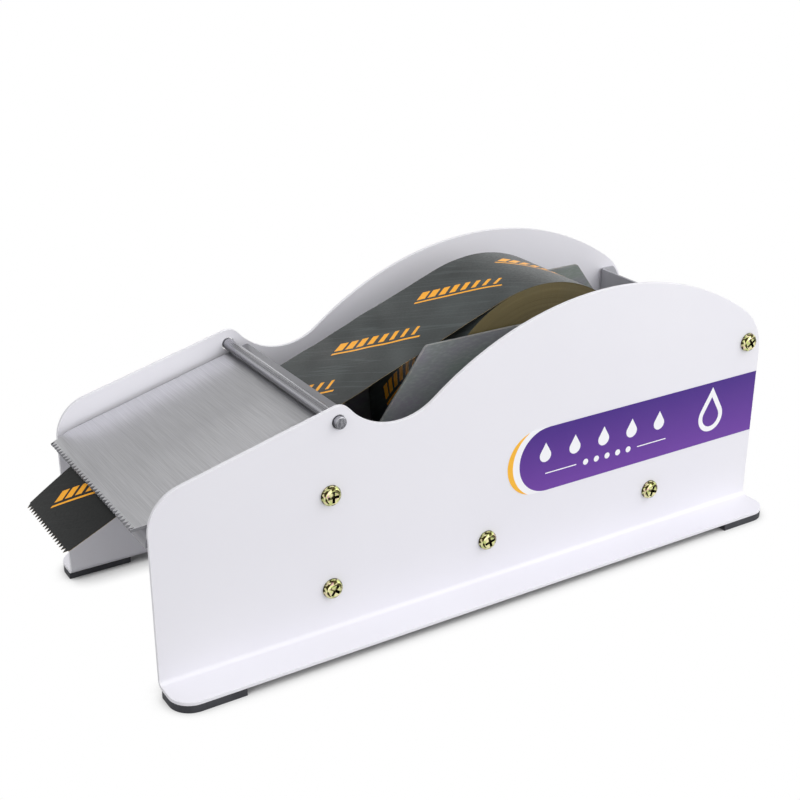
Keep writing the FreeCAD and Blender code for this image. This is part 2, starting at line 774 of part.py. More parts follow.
def guide(inner):
    """Upright plate with unlike sloping ends, an arch over the cradle rollers and two feet folded inwards."""
    section = folded_sheet([(inner - guide_foot_reach, guide_foot_top), (inner, guide_foot_top),
                            (inner, guide_top)], sheet, [sheet_bend], "yz")
    slab = along_x(section, guide_front_x, guide_rear_x)
    fall = 1 / math.tan(math.radians(guide_slope_degrees))
    bottom = floor_top
    outline = rounded_polygon([
        (guide_front_x, bottom - guide_corner),
        (guide_front_x, guide_top - guide_long_inset * fall),
        (guide_front_x + guide_long_inset, guide_top),
        (guide_rear_x - guide_short_inset, guide_top),
        (guide_rear_x, guide_top - guide_short_inset * fall),
        (guide_rear_x, bottom - guide_corner),
    ], guide_corner)
    plate = slab.common(along_y(outline, 0, half_inner))
    edge_z = guide_foot_top + sheet_bend
    clear = []
    foot_ends = (guide_front_x + guide_foot_inset, guide_rear_x - guide_foot_inset)
    between = (foot_ends[0] + guide_foot_length, foot_ends[1] - guide_foot_length)
    for start, end in ((guide_front_x, foot_ends[0]), between, (foot_ends[1], guide_rear_x)):
        clear.append(block((start, 0, bottom - 1), (end, half_inner, edge_z)))
    arch_half = cradle_half_spacing + cradle_radius + guide_notch_gap
    arch_top = cradle_z + cradle_radius + guide_notch_gap
    arch = rounded_polygon(rectangle((roll_x - arch_half, bottom - guide_corner * 2), (roll_x + arch_half, arch_top)),
                           guide_corner)
    clear.append(along_y(arch, 0, half_inner))
    for x in thumb_xs():
        clear.append(bar_z(x, inner - thumb_offset, thumb_shank_radius + thumb_shank_gap,
                           bottom, guide_foot_top + 1))
    return plate.cut(clear)


def guide_washers(inner):
    washers = []
    for x in thumb_xs():
        disc = bar_z(x, inner - thumb_offset, washer_radius, guide_foot_top, washer_top)
        bore = bar_z(x, inner - thumb_offset, thumb_shank_radius + thumb_shank_gap, guide_foot_top, washer_top)
        washers.append(disc.cut(bore))
    return Part.makeCompound(washers)


def slide_nuts(inner):
    """Square nuts below the floor, each with a key that runs in the floor's slot."""
    nuts = []
    half_key = thumb_shank_radius + slide_key_wall
    y = inner - thumb_offset
    near = y - slide_nut_length / 2
    far = y + slide_nut_length / 2
    bottom = slide_nut_top - slide_nut_thickness
    key_top = floor_top - guide_float
    for x in thumb_xs():
        plate = block((x - slide_nut_width / 2, near, bottom), (x + slide_nut_width / 2, far, slide_nut_top))
        key = block((x - half_key, near, bottom), (x + half_key, far, key_top))
        bore = bar_z(x, y, thumb_shank_radius + running_gap, bottom, key_top)
        nuts.append(joined([plate, key]).cut(bore))
    return Part.makeCompound(nuts)


def thumb_screw(x, inner):
    """Fluted knob on a neck, with a shank through washer, guide foot and slide nut."""
    y = inner - thumb_offset
    knob_bottom = washer_top + thumb_neck_height
    knob_top = knob_bottom + thumb_knob_height
    knob = bar_z(x, y, thumb_knob_radius, knob_bottom, knob_top)
    knob = knob.makeChamfer(thumb_knob_chamfer, rims(knob))
    flutes = []
    for index in range(thumb_flutes):
        place = on_circle((x, y), thumb_knob_radius + thumb_flute_radius / 2, 2 * math.pi * index / thumb_flutes)
        flutes.append(bar_z(*place, thumb_flute_radius, knob_bottom, knob_top))
    neck = bar_z(x, y, thumb_neck_radius, washer_top, knob_bottom)
    tip_z = slide_nut_top - slide_nut_thickness - thumb_tip
    shank = bar_z(x, y, thumb_shank_radius, tip_z, washer_top)
    return joined([knob.cut(flutes), neck, shank])


# ---- side screws, nuts and rivets: drawn upright at the origin and turned into place ----

def facing_right(shape):
    """Turns a shape drawn along +Z to lie along +Y."""
    return shape.rotated(FreeCAD.Vector(0, 0, 0), FreeCAD.Vector(1, 0, 0), -90)


def pan_head_screw(shank_length, turn):
    """Cross-recessed pan head above z = 0 and its shank below."""
    head = bar_z(0, 0, screw_head_radius, 0, screw_head_height)
    head = head.makeFillet(screw_head_crown, rims(head, lambda edge: edge.CenterOfMass.z > screw_head_height / 2))
    low = screw_head_height - cross_depth
    arm = block((-cross_length / 2, -cross_width / 2, low), (cross_length / 2, cross_width / 2, screw_head_height))
    z_axis = (FreeCAD.Vector(0, 0, 0), FreeCAD.Vector(0, 0, 1))
    head = head.cut([arm, arm.rotated(*z_axis, 90)])
    screw = joined([head, bar_z(0, 0, screw_radius, -shank_length, 0)])
    return screw.rotated(*z_axis, turn)


def hex_nut():
    corner = nut_width / 2 / math.cos(math.pi / 6)
    figure = polygon([on_circle((0, 0), corner, math.pi / 3 * index) for index in range(6)], "xy")
    return along_z(figure, 0, nut_height).cut(bar_z(0, 0, screw_radius + running_gap, 0, nut_height))


def side_screws():
    shank_length = plate_thickness + sheet + nut_height + screw_tip
    screws = []
    for index, (x, z) in enumerate(screw_places):
        screw = facing_right(pan_head_screw(shank_length, cross_turn * index))
        screws += on_both_sides(moved(screw, x, half_outer, z))
    return Part.makeCompound(screws)


def side_nuts():
    nuts = []
    for x, z in screw_places:
        nuts += on_both_sides(moved(facing_right(hex_nut()), x, half_inner - sheet - nut_height, z))
    return Part.makeCompound(nuts)


def rivet(grip):
    """Rivet with a domed head on each end, its grip from z = 0 up."""
    head = bar_z(0, 0, rivet_head_radius, 0, rivet_head_height)
    head = head.makeFillet(rivet_crown, rims(head, lambda edge: edge.CenterOfMass.z > rivet_head_height / 2))
    tail = head.mirror(FreeCAD.Vector(0, 0, 0), FreeCAD.Vector(0, 0, 1))
    return joined([bar_z(0, 0, rivet_radius, 0, grip), moved(head, 0, 0, grip), tail])


def floor_rivets():
    return Part.makeCompound([moved(rivet(2 * sheet), x, y, floor_height)
                              for x in foot_rivet_xs for y in foot_rivet_ys])


def shelf_rivets():
    lying = rivet(2 * sheet).rotated(FreeCAD.Vector(0, 0, 0), FreeCAD.Vector(0, 1, 0), 90)
    return Part.makeCompound([moved(lying, bulkhead_x - sheet, y, shelf_rivet_z)
                              for y in (-shelf_rivet_y, shelf_rivet_y)])


# ---- all pieces ----

def pieces():
    """Every piece of the dispenser by its node's name."""
    nodes = {
        "pivot_rod": pivot_rod(),
        "tear_flap": tear_flap(),
        "flap_welds": flap_welds(),
        "side_label": side_label(),
        "tape_table": tape_table(),
        "floor_tray": floor_tray(),
        "back_plate": back_plate(),
        "tank_shelf": tank_shelf(),
        "water_tank": water_tank(),
        "tank_bushes": tank_bushes(),
        "wetting_sleeve": wetting_tube(wetting_radius, wetting_core_radius),
        "wetting_core": wetting_tube(wetting_core_radius, wetting_axle_radius),
        "wetting_axle": wetting_axle(),
        "tape_strip": tape_strip(),
        "tape_roll": tape_roll(),
        "roll_core": roll_core(),
        "side_screws": side_screws(),
        "side_nuts": side_nuts(),
        "floor_rivets": floor_rivets(),
        "shelf_rivets": shelf_rivets(),
    }
    for end, x in (("front", roll_x - cradle_half_spacing), ("rear", roll_x + cradle_half_spacing)):
        nodes[f"{end}_cradle_roller"] = cradle_roller(x)
        nodes[f"{end}_cradle_axle"] = cradle_axle(x)
    sides = (("left", mirrored, turned, guide_side_gap - tape_near),
             ("right", unmoved, unmoved, guide_side_gap + tape_far))
    for side, placed, set_down, inner in sides:
        nodes[f"{side}_side_plate"] = placed(side_plate())
        nodes[f"front_{side}_foot"] = placed(foot(0, foot_length))
        nodes[f"rear_{side}_foot"] = placed(foot(plate_length - foot_length, plate_length))
        nodes[f"{side}_guide"] = set_down(guide(inner))
        nodes[f"{side}_guide_washers"] = placed(guide_washers(inner))
        nodes[f"{side}_slide_nuts"] = placed(slide_nuts(inner))
        for end, x in zip(("front", "rear"), thumb_xs()):
            nodes[f"{end}_{side}_thumb_screw"] = placed(thumb_screw(x, inner))
    return nodes


os.makedirs("parts", exist_ok=True)
for name, shape in pieces().items():
    moved(shape, -origin_x, 0, 0).exportStep(f"parts/{name}.step")
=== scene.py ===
"""Finishes, printed tape, studio and camera for the gummed tape dispenser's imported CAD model."""

import logging
import math
from dataclasses import dataclass, field
from enum import Enum

import bpy
import numpy as np
from mathutils import Matrix, Vector


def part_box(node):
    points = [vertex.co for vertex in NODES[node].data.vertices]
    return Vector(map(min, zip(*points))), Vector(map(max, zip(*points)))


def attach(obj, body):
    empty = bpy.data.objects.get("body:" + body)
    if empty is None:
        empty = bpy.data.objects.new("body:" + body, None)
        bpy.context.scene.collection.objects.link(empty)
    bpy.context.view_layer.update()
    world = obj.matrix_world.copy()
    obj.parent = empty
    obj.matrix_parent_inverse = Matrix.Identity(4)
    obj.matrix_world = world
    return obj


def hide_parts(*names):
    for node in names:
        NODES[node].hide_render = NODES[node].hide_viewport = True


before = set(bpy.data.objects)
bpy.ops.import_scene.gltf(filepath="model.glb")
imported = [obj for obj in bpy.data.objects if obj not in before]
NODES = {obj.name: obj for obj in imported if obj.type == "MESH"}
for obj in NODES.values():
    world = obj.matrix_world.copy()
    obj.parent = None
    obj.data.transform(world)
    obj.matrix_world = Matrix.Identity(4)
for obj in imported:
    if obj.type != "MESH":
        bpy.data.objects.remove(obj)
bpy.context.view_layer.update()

MM = 0.001
LOG = logging.getLogger("tape_dispenser")
# Values between which most of a noise lies.
NOISE_SPAN = (0.3, 0.7)


# ---- node trees ----


def linear(colour: str) -> tuple[float, float, float, float]:
    """Turn an sRGB hex colour into the linear values that a shader reads.

    Args:
        colour: six hex digits after a hash.

    Returns:
        Linear red, green and blue, and an alpha of 1.
    """
    channels = [int(colour[i : i + 2], 16) / 255 for i in (1, 3, 5)]
    curved = [c / 12.92 if c <= 0.04045 else ((c + 0.055) / 1.055) ** 2.4 for c in channels]
    return (*curved, 1.0)


def add_node(
    tree: bpy.types.NodeTree, kind: str, inputs: dict | None = None, **settings
) -> bpy.types.Node:
    """Add a shader node, set its properties, and fill or link its sockets.

    Args:
        tree: node tree that gets the node.
        kind: node type without its prefix, such as "TexNoise".
        inputs: socket name or number, and the constant, socket or Signal that it gets.
        settings: node properties, such as operation="MULTIPLY".

    Returns:
        The new node.
    """
    node = tree.nodes.new("ShaderNode" + kind)
    for name, value in settings.items():
        setattr(node, name, value)
    for key, value in (inputs or {}).items():
        source = value.socket if isinstance(value, Signal) else value
        if isinstance(source, bpy.types.NodeSocket):
            tree.links.new(source, node.inputs[key])
        else:
            node.inputs[key].default_value = source
    return node


class Signal:
    """A number that varies over a surface, with arithmetic that grows its node tree."""

    def __init__(self, tree: bpy.types.NodeTree, socket: bpy.types.NodeSocket) -> None:
        """Keep the tree and the socket that carries the number."""
        self.tree = tree
        self.socket = socket

    def apply(self, operation: str, *others: "Signal | float") -> "Signal":
        """Put this number and others through one step of arithmetic.

        Args:
            operation: name of the arithmetic, such as "ABSOLUTE".
            others: further operands.

        Returns:
            The result.
        """
        operands = dict(enumerate((self, *others)))
        step = add_node(self.tree, "Math", operands, operation=operation)
        return Signal(self.tree, step.outputs[0])

    def __add__(self, other: "Signal | float") -> "Signal":
        """Sum."""
        return self.apply("ADD", other)

    def __sub__(self, other: "Signal | float") -> "Signal":
        """Difference."""
        return self.apply("SUBTRACT", other)

    def __mul__(self, other: "Signal | float") -> "Signal":
        """Product."""
        return self.apply("MULTIPLY", other)

    def __truediv__(self, other: "Signal | float") -> "Signal":
        """Quotient."""
        return self.apply("DIVIDE", other)

    def below(self, limit: "Signal | float") -> "Signal":
        """1 where the number is below the limit, else 0."""
        return self.apply("LESS_THAN", limit)

    def above(self, limit: "Signal | float") -> "Signal":
        """1 where the number is above the limit, else 0."""
        return self.apply("GREATER_THAN", limit)

    def between(self, low: float, high: float, to: tuple[float, float] = (0.0, 1.0)) -> "Signal":
        """Stretch the range from low to high onto another range, and hold it at the ends.

        Args:
            low: value that becomes the first end.
            high: value that becomes the second end.
            to: the two ends.

        Returns:
            The stretched number.
        """
        ends = {"Value": self, "From Min": low, "From Max": high, "To Min": to[0], "To Max": to[1]}
        return Signal(self.tree, add_node(self.tree, "MapRange", ends).outputs["Result"])

    def tint(
        self, low: "str | bpy.types.NodeSocket", high: "str | bpy.types.NodeSocket"
    ) -> bpy.types.NodeSocket:
        """Run from one colour at 0 to another at 1.

        Args:
            low: colour at 0, as hex or as a socket.
            high: colour at 1, as hex or as a socket.

        Returns:
            The colour socket.
        """
        ends = [linear(c) if isinstance(c, str) else c for c in (low, high)]
        mix = add_node(self.tree, "Mix", {0: self, 6: ends[0], 7: ends[1]}, data_type="RGBA")
        return mix.outputs[2]


class Pattern:
    """Patterns in a piece's own coordinates, in metres."""

    # Cosines of the turn at an edge: up to the first it counts in full, from the second not at all.
    edge_cosines = (0.8, 0.98)
    # Rays that feel for an edge, and for what hides the sky.
    edge_samples = 4
    sky_samples = 8
    # Step along a winding, in metres per radian, that keeps its rings nearly closed.
    winding_step = 0.004

    def __init__(self, tree: bpy.types.NodeTree) -> None:
        """Read the object's coordinates and its surface direction.

        Args:
            tree: node tree that the patterns grow in.
        """
        self.tree = tree
        source = add_node(tree, "TexCoord")
        self.place = source.outputs["Object"]
        self.facing = source.outputs["Normal"]

    def split(self, vector: bpy.types.NodeSocket) -> list[Signal]:
        """Give the three parts of a vector socket as numbers."""
        parts = add_node(self.tree, "SeparateXYZ", {"Vector": vector})
        return [Signal(self.tree, socket) for socket in parts.outputs]

    def grain(
        self,
        size_mm: tuple[float, float, float],
        place: bpy.types.NodeSocket | None = None,
        octaves: float = 2.0,
    ) -> Signal:
        """Cloudy noise whose lumps have a given size along each axis.

        Args:
            size_mm: lump size along x, y and z in millimetres.
            place: coordinates in metres, or None for the object's own.
            octaves: layers of finer noise.

        Returns:
            A number about 0.5, mostly from 0.3 to 0.7.
        """
        scale = tuple(1 / (MM * size) for size in size_mm)
        scaled = add_node(self.tree, "Mapping", {"Vector": place or self.place, "Scale": scale})
        inputs = {"Vector": scaled.outputs[0], "Scale": 1.0, "Detail": octaves}
        return Signal(self.tree, add_node(self.tree, "TexNoise", inputs).outputs["Fac"])

    def relief(
        self, height: Signal, depth_mm: float, base: bpy.types.NodeSocket | None = None
    ) -> bpy.types.NodeSocket:
        """Bend the surface direction by a height.

        Args:
            height: number from 0 to 1.
            depth_mm: height in millimetres that 1 stands for.
            base: surface direction to start from.

        Returns:
            The bent direction.
        """
        inputs = {"Height": height, "Distance": depth_mm * MM, "Strength": 1.0}
        if base is not None:
            inputs["Normal"] = base
        return add_node(self.tree, "Bump", inputs).outputs["Normal"]

    def soft_edge(self, radius_mm: float) -> bpy.types.NodeSocket:
        """Surface direction that turns over an edge as if the edge had this radius."""
        edge = add_node(self.tree, "Bevel", {"Radius": radius_mm * MM}, samples=self.edge_samples)
        return edge.outputs["Normal"]

    def edge_band(self, width_mm: float) -> Signal:
        """Find the edges of the piece.

        Args:
            width_mm: how far from an edge it still counts, in millimetres.

        Returns:
            1 along edges and 0 on flat faces.
        """
        true = add_node(self.tree, "NewGeometry").outputs["Normal"]
        both = {0: self.soft_edge(width_mm), 1: true}
        cosine = add_node(self.tree, "VectorMath", both, operation="DOT_PRODUCT").outputs["Value"]
        return Signal(self.tree, cosine).between(*self.edge_cosines, (1.0, 0.0))

    def open_sky(self, reach_mm: float) -> Signal:
        """Look for hollows.

        Args:
            reach_mm: how far off something may be and still hide the sky, in millimetres.

        Returns:
            Share of the sky that nothing hides: 1 in the open and 0 in a deep hollow.
        """
        reach = {"Distance": reach_mm * MM}
        sky = add_node(self.tree, "AmbientOcclusion", reach, samples=self.sky_samples)
        return Signal(self.tree, sky.outputs["AO"])

    def wheel(self, centre: tuple[float, float]) -> tuple[Signal, Signal]:
        """Radius and angle about an axis along Y.

        Args:
            centre: x and z of the axis in metres.

        Returns:
            Distance from the axis in metres, and the angle from +X towards +Z in radians.
        """
        x, _, z = self.split(self.place)
        across = x - centre[0]
        up = z - centre[1]
        radius = (across * across + up * up).apply("SQRT")
        return radius, up.apply("ARCTAN2", across)

    def winding(self, centre: tuple[float, float]) -> bpy.types.NodeSocket:
        """Coordinates for grain in rings about an axis along Y.

        Args:
            centre: x and z of the axis in metres.

        Returns:
            The radius as X, and the angle times a short step as Y.
        """
        radius, angle = self.wheel(centre)
        inputs = {"X": radius, "Y": angle * self.winding_step, "Z": 0.0}
        return add_node(self.tree, "CombineXYZ", inputs).outputs[0]


# ---- finishes ----


@dataclass(frozen=True)
class Finish:
    """A material of one colour, sheen and metal share, to which a finish adds its own detail."""

    name: str
    colour: str
    roughness: float
    metallic: float = 0.0
    # Radius that its edges seem to have.
    edge_mm: float = 0.3
    # How far its smoothest patches lie below its roughness, and its roughest above it.
    sheen_drift: tuple[float, float] = (0.06, 0.1)

    def material(self) -> bpy.types.Material:
        """Make the material, or find it where it was made before.

        Returns:
            The material that has the finish's name.
        """
        made = bpy.data.materials.get(self.name)
        if made is not None:
            return made
        made = bpy.data.materials.new(self.name)
        made.use_nodes = True
        made.node_tree.nodes.clear()
        inputs = {"Base Color": linear(self.colour), "Roughness": self.roughness}
        inputs["Metallic"] = self.metallic
        shader = add_node(made.node_tree, "BsdfPrincipled", inputs)
        add_node(made.node_tree, "OutputMaterial", {"Surface": shader.outputs[0]})
        self.detail(Pattern(made.node_tree), shader)
        return made

    def detail(self, pattern: Pattern, shader: bpy.types.Node) -> None:
        """Add what sets the finish apart; a plain finish adds nothing.

        Args:
            pattern: patterns of the material's node tree.
            shader: the node whose sockets get them.
        """

    def sheen_span(self) -> tuple[float, float]:
        """Roughness of the smoothest patches, and of the roughest."""
        return self.roughness - self.sheen_drift[0], self.roughness + self.sheen_drift[1]

    def feed(self, shader: bpy.types.Node, **sources: "Signal | bpy.types.NodeSocket") -> None:
        """Link sources to the shader's sockets.

        Args:
            shader: the node whose sockets get them.
            sources: each under its socket's name, with underscores for spaces.
        """
        tree = shader.id_data
        for name, source in sources.items():
            socket = source.socket if isinstance(source, Signal) else source
            tree.links.new(socket, shader.inputs[name.replace("_", " ")])


@dataclass(frozen=True)
class PowderCoat(Finish):
    """Polyester powder, baked: satin, with a faint orange peel and rounded-over edges, which carry
    a painted highlight.
    """

    edge_mm: float = 0.5
    sheen_drift: tuple[float, float] = (0.02, 0.02)
    shade: str = "#E3E2E9"
    cloud_mm: float = 120.0
    cloud_span: tuple[float, float] = (0.2, 0.8)
    peel_mm: float = 1.6
    peel_depth_mm: float = 0.012
    # Edges are painted whiter than the face in this colour: a painted highlight where light catches
    # them.
    edge: str = "#FCFCFF"
    highlight_width_mm: float = 0.8

    def detail(self, pattern: Pattern, shader: bpy.types.Node) -> None:
        """Orange peel in the surface, film thickness in colour and sheen, and a painted highlight
        along the edges.

        Args:
            pattern: patterns of the material's node tree.
            shader: the node whose sockets get them.
        """
        cloud = pattern.grain((self.cloud_mm,) * 3).between(*self.cloud_span)
        peel = pattern.grain((self.peel_mm,) * 3, octaves=1.0)
        # A band along every edge is painted whiter: a painted highlight.
        edge = pattern.edge_band(self.highlight_width_mm)
        self.feed(
            shader,
            Base_Color=edge.tint(cloud.tint(self.colour, self.shade), self.edge),
            Roughness=cloud.between(0.0, 1.0, self.sheen_span()),
            Normal=pattern.relief(peel, self.peel_depth_mm, pattern.soft_edge(self.edge_mm)),
        )


@dataclass(frozen=True)
class BrushedSheet(Finish):
    """Stainless sheet ground with a belt: fine lines one way, so light drags across them."""

    edge_mm: float = 0.25
    sheen_drift: tuple[float, float] = (0.03, 0.03)
    dark: str = "#D2D2D5"
    # Faces that look less upward than this are the sheet's sheared edges; 0 leaves none. They are
    # painted dark: partly the duller cut metal, mostly a painted shade for the dark that the edges
    # reflect.
    sheared_below: float = 0.0
    sheared_edge_shade: str = "#77777B"
    # From this x in metres on, towards the rear, the sheet is painted darker: a painted shade
    # behind the rod.
    rear_shade_from: float = 1.0
    rear_shade: str = "#A3A3A8"
    # Belt lines are about 0.05 mm wide; drawn 0.35 mm wide, so that they show.
    line_mm: float = 0.35
    line_length_mm: float = 28.0
    line_depth_mm: float = 0.0004
    line_span: tuple[float, float] = (0.4, 0.6)
    # Bands over the lines: how many times as wide and as long they are, and their share in colour.
    band_width: float = 5.0
    band_length: float = 2.0
    band_share: float = 0.15
    colour_span: tuple[float, float] = (0.34, 0.66)

    def detail(self, pattern: Pattern, shader: bpy.types.Node) -> None:
        """Lines along Y in colour, sheen and surface, over broader bands; sheared edges and the
        rear part painted darker, as painted shade.

        Args:
            pattern: patterns of the material's node tree.
            shader: the node whose sockets get them.
        """
        line = pattern.grain((self.line_mm, self.line_length_mm, self.line_mm), octaves=3.0)
        width, length = self.line_mm * self.band_width, self.line_length_mm * self.band_length
        band = pattern.grain((width, length, width)) * self.band_share
        both = (line * (1 - self.band_share) + band).between(*self.colour_span)
        edge = pattern.split(pattern.facing)[2].apply("ABSOLUTE").below(self.sheared_below)
        # The rear part is painted darker: a painted shade.
        rear_shade = pattern.split(pattern.place)[0].above(self.rear_shade_from)
        face = rear_shade.tint(both.tint(self.dark, self.colour), self.rear_shade)
        self.feed(
            shader,
            # Sheared edges are painted dark: partly duller cut metal, partly painted shade.
            Base_Color=edge.tint(face, self.sheared_edge_shade),
            Roughness=line.between(*self.line_span, self.sheen_span()),
            Normal=pattern.relief(line, self.line_depth_mm, pattern.soft_edge(self.edge_mm)),
        )


@dataclass(frozen=True)
class TurnedMetal(Finish):
    """Metal cut on a lathe or drawn through a die: fine marks round it or along it."""

    edge_mm: float = 0.25
    sheen_drift: tuple[float, float] = (0.05, 0.08)
    dark: str = "#7C7C80"
    mark_mm: tuple[float, float, float] = (30.0, 0.4, 30.0)
    mark_depth_mm: float = 0.004
    # Faces that look further along Y than this are sawn ends, painted darker: the duller sawn
    # steel, and a painted shade for the dark that the ends reflect.
    end_from: float = 0.8
    sawn_and_shaded: str = "#B8B8BD"
    saw_cut: str = "#5E5E63"
    saw_cut_mm: tuple[float, float, float] = (0.6, 9.0, 5.0)
    saw_cut_span: tuple[float, float] = (0.4, 0.6)
    # Share of its colour that the side that looks down keeps: a painted shade on the underside.
    underside_shade: float = 1.0
    # How far up a face looks where that painted shade is whole, and where it ends.
    underside_shade_heights: tuple[float, float] = (-0.1, 0.6)

    def detail(self, pattern: Pattern, shader: bpy.types.Node) -> None:
        """Tool marks in colour, sheen and surface, a painted shade on the side that looks down, and
        a sawn face at each end, painted darker.

        Args:
            pattern: patterns of the material's node tree.
            shader: the node whose sockets get them.
        """
        marks = pattern.grain(self.mark_mm, octaves=3.0)
        _, sideways, upward = pattern.split(pattern.facing)
        end = sideways.apply("ABSOLUTE").above(self.end_from)
        cuts = pattern.grain(self.saw_cut_mm).between(*self.saw_cut_span)
        drawn = marks.between(*NOISE_SPAN).tint(self.dark, self.colour)
        # The side that looks down is painted darker: a painted shade.
        shade_blend = upward.between(*self.underside_shade_heights, (self.underside_shade, 1.0)).tint("#000000", drawn)
        self.feed(
            shader,
            # Sawn ends: sawn steel, darkened in part as painted shade.
            Base_Color=end.tint(shade_blend, cuts.tint(self.saw_cut, self.sawn_and_shaded)),
            Roughness=marks.between(*NOISE_SPAN, self.sheen_span()),
            Normal=pattern.relief(marks, self.mark_depth_mm, pattern.soft_edge(self.edge_mm)),
        )


@dataclass(frozen=True)
class Passivated(Finish):
    """Zinc plate with a chromate film: bright metal whose tint drifts with the film's thickness."""

    second: str = "#C3CC84"
    second_mm: float = 3.0
    second_span: tuple[float, float] = (0.4, 0.6)
    third: str = "#D9A6AE"
    third_mm: float = 1.8
    third_span: tuple[float, float] = (0.55, 0.7)
    dark_reflection: str = "#352F14"
    # Size of a dark patch on a ball of one metre radius: the patches are a painted reflection of
    # dark surroundings, so they follow the way that the surface looks.
    reflection_mm: float = 420.0
    reflection_span: tuple[float, float] = (0.48, 0.58)
    # Painted shade lies where the recess hides the sky, and ends as it opens up.
    recess_shade: str = "#1E190A"
    recess_mm: float = 2.5
    open_span: tuple[float, float] = (0.4, 0.8)
    crystal_mm: float = 0.5
    crystal_depth_mm: float = 0.01

    def detail(self, pattern: Pattern, shader: bpy.types.Node) -> None:
        """Patches of three tints, dark patches as painted reflection, a crystal grain in the sheen,
        and painted shade in the recess.

        Args:
            pattern: patterns of the material's node tree.
            shader: the node whose sockets get them.
        """
        second = pattern.grain((self.second_mm,) * 3).between(*self.second_span)
        third = pattern.grain((self.third_mm,) * 3).between(*self.third_span)
        # Dark patches by the surface's direction: a painted reflection.
        reflection_mask = pattern.grain((self.reflection_mm,) * 3, pattern.facing, 1.0).between(*self.reflection_span)
        # Painted shade in the recess, where the sky is hidden.
        shade_blend = pattern.open_sky(self.recess_mm).between(*self.open_span)
        crystal = pattern.grain((self.crystal_mm,) * 3)
        film = third.tint(second.tint(self.colour, self.second), self.third)
        edge = pattern.soft_edge(self.edge_mm)
        self.feed(
            shader,
            Base_Color=shade_blend.tint(self.recess_shade, reflection_mask.tint(film, self.dark_reflection)),
            Roughness=crystal.between(*NOISE_SPAN, self.sheen_span()),
            Normal=pattern.relief(crystal, self.crystal_depth_mm, edge),
        )


@dataclass(frozen=True)
class Moulded(Finish):
    """Rubber or plastic from a mould: an even colour with the mould's fine grain."""

    sheen_drift: tuple[float, float] = (0.06, 0.06)
    lift: str = "#3A3B40"
    bloom_mm: float = 12.0
    bloom_span: tuple[float, float] = (0.4, 0.7)
    grain_mm: float = 0.7
    grain_depth_mm: float = 0.03

    def detail(self, pattern: Pattern, shader: bpy.types.Node) -> None:
        """Mould grain in the surface, and a slight bloom in colour.

        Args:
            pattern: patterns of the material's node tree.
            shader: the node whose sockets get them.
        """
        grain = pattern.grain((self.grain_mm,) * 3)
        bloom = pattern.grain((self.bloom_mm,) * 3).between(*self.bloom_span)
        self.feed(
            shader,
            Base_Color=bloom.tint(self.colour, self.lift),
            Roughness=grain.between(*NOISE_SPAN, self.sheen_span()),
            Normal=pattern.relief(grain, self.grain_depth_mm, pattern.soft_edge(self.edge_mm)),
        )


@dataclass(frozen=True)
class BluedSheet(Finish):
    """Oiled, blued steel sheet: grey and satin, with drifts from green to violet in the oxide."""

    sheen_drift: tuple[float, float] = (0.08, 0.08)
    green: str = "#858F89"
    violet: str = "#8D8A94"
    drift_mm: tuple[float, float, float] = (35.0, 35.0, 22.0)
    drift_span: tuple[float, float] = (0.38, 0.62)
    grain_mm: tuple[float, float, float] = (4.0, 4.0, 1.2)
    grain_span: tuple[float, float] = (0.45, 0.75)
    grain_depth_mm: float = 0.01
    # Edges painted bright in this colour, broken up by a noise: a painted highlight.
    worn: str = "#B9ADA2"
    edge_highlight_mm: float = 0.7
    breakup_mm: float = 1.5
    breakup_span: tuple[float, float] = (0.35, 0.6)

    def detail(self, pattern: Pattern, shader: bpy.types.Node) -> None:
        """Oxide drifts in colour, rolling grain in the sheen, and bright edges broken up by a
        noise: a painted highlight.

        Args:
            pattern: patterns of the material's node tree.
            shader: the node whose sockets get them.
        """
        drift = pattern.grain(self.drift_mm).between(*self.drift_span)
        grain = pattern.grain(self.grain_mm)
        oxide = drift.tint(self.green, self.violet)
        tinted = grain.between(*self.grain_span).tint(oxide, self.colour)
        edge_breakup = pattern.grain((self.breakup_mm,) * 3).between(*self.breakup_span)
        self.feed(
            shader,
            # Bright edges: a painted highlight.
            Base_Color=(pattern.edge_band(self.edge_highlight_mm) * edge_breakup).tint(tinted, self.worn),
            Roughness=grain.between(*NOISE_SPAN, self.sheen_span()),
            Normal=pattern.relief(grain, self.grain_depth_mm, pattern.soft_edge(self.edge_mm)),
        )


@dataclass(frozen=True)
class Felt(Finish):
    """Pressed wool: matt, with loose fibres that catch light at the rim."""

    matted: str = "#A9A99C"
    clump_mm: float = 1.0
    clump_depth_mm: float = 0.3
    rim_sheen: float = 0.4

    def detail(self, pattern: Pattern, shader: bpy.types.Node) -> None:
        """Fibre clumps in colour and surface, and a sheen at grazing angles.

        Args:
            pattern: patterns of the material's node tree.
            shader: the node whose sockets get them.
        """
        clump = pattern.grain((self.clump_mm,) * 3, octaves=4.0)
        shader.inputs["Sheen Weight"].default_value = self.rim_sheen
        self.feed(
            shader,
            Base_Color=clump.between(*NOISE_SPAN).tint(self.matted, self.colour),
            Normal=pattern.relief(clump, self.clump_depth_mm),
        )


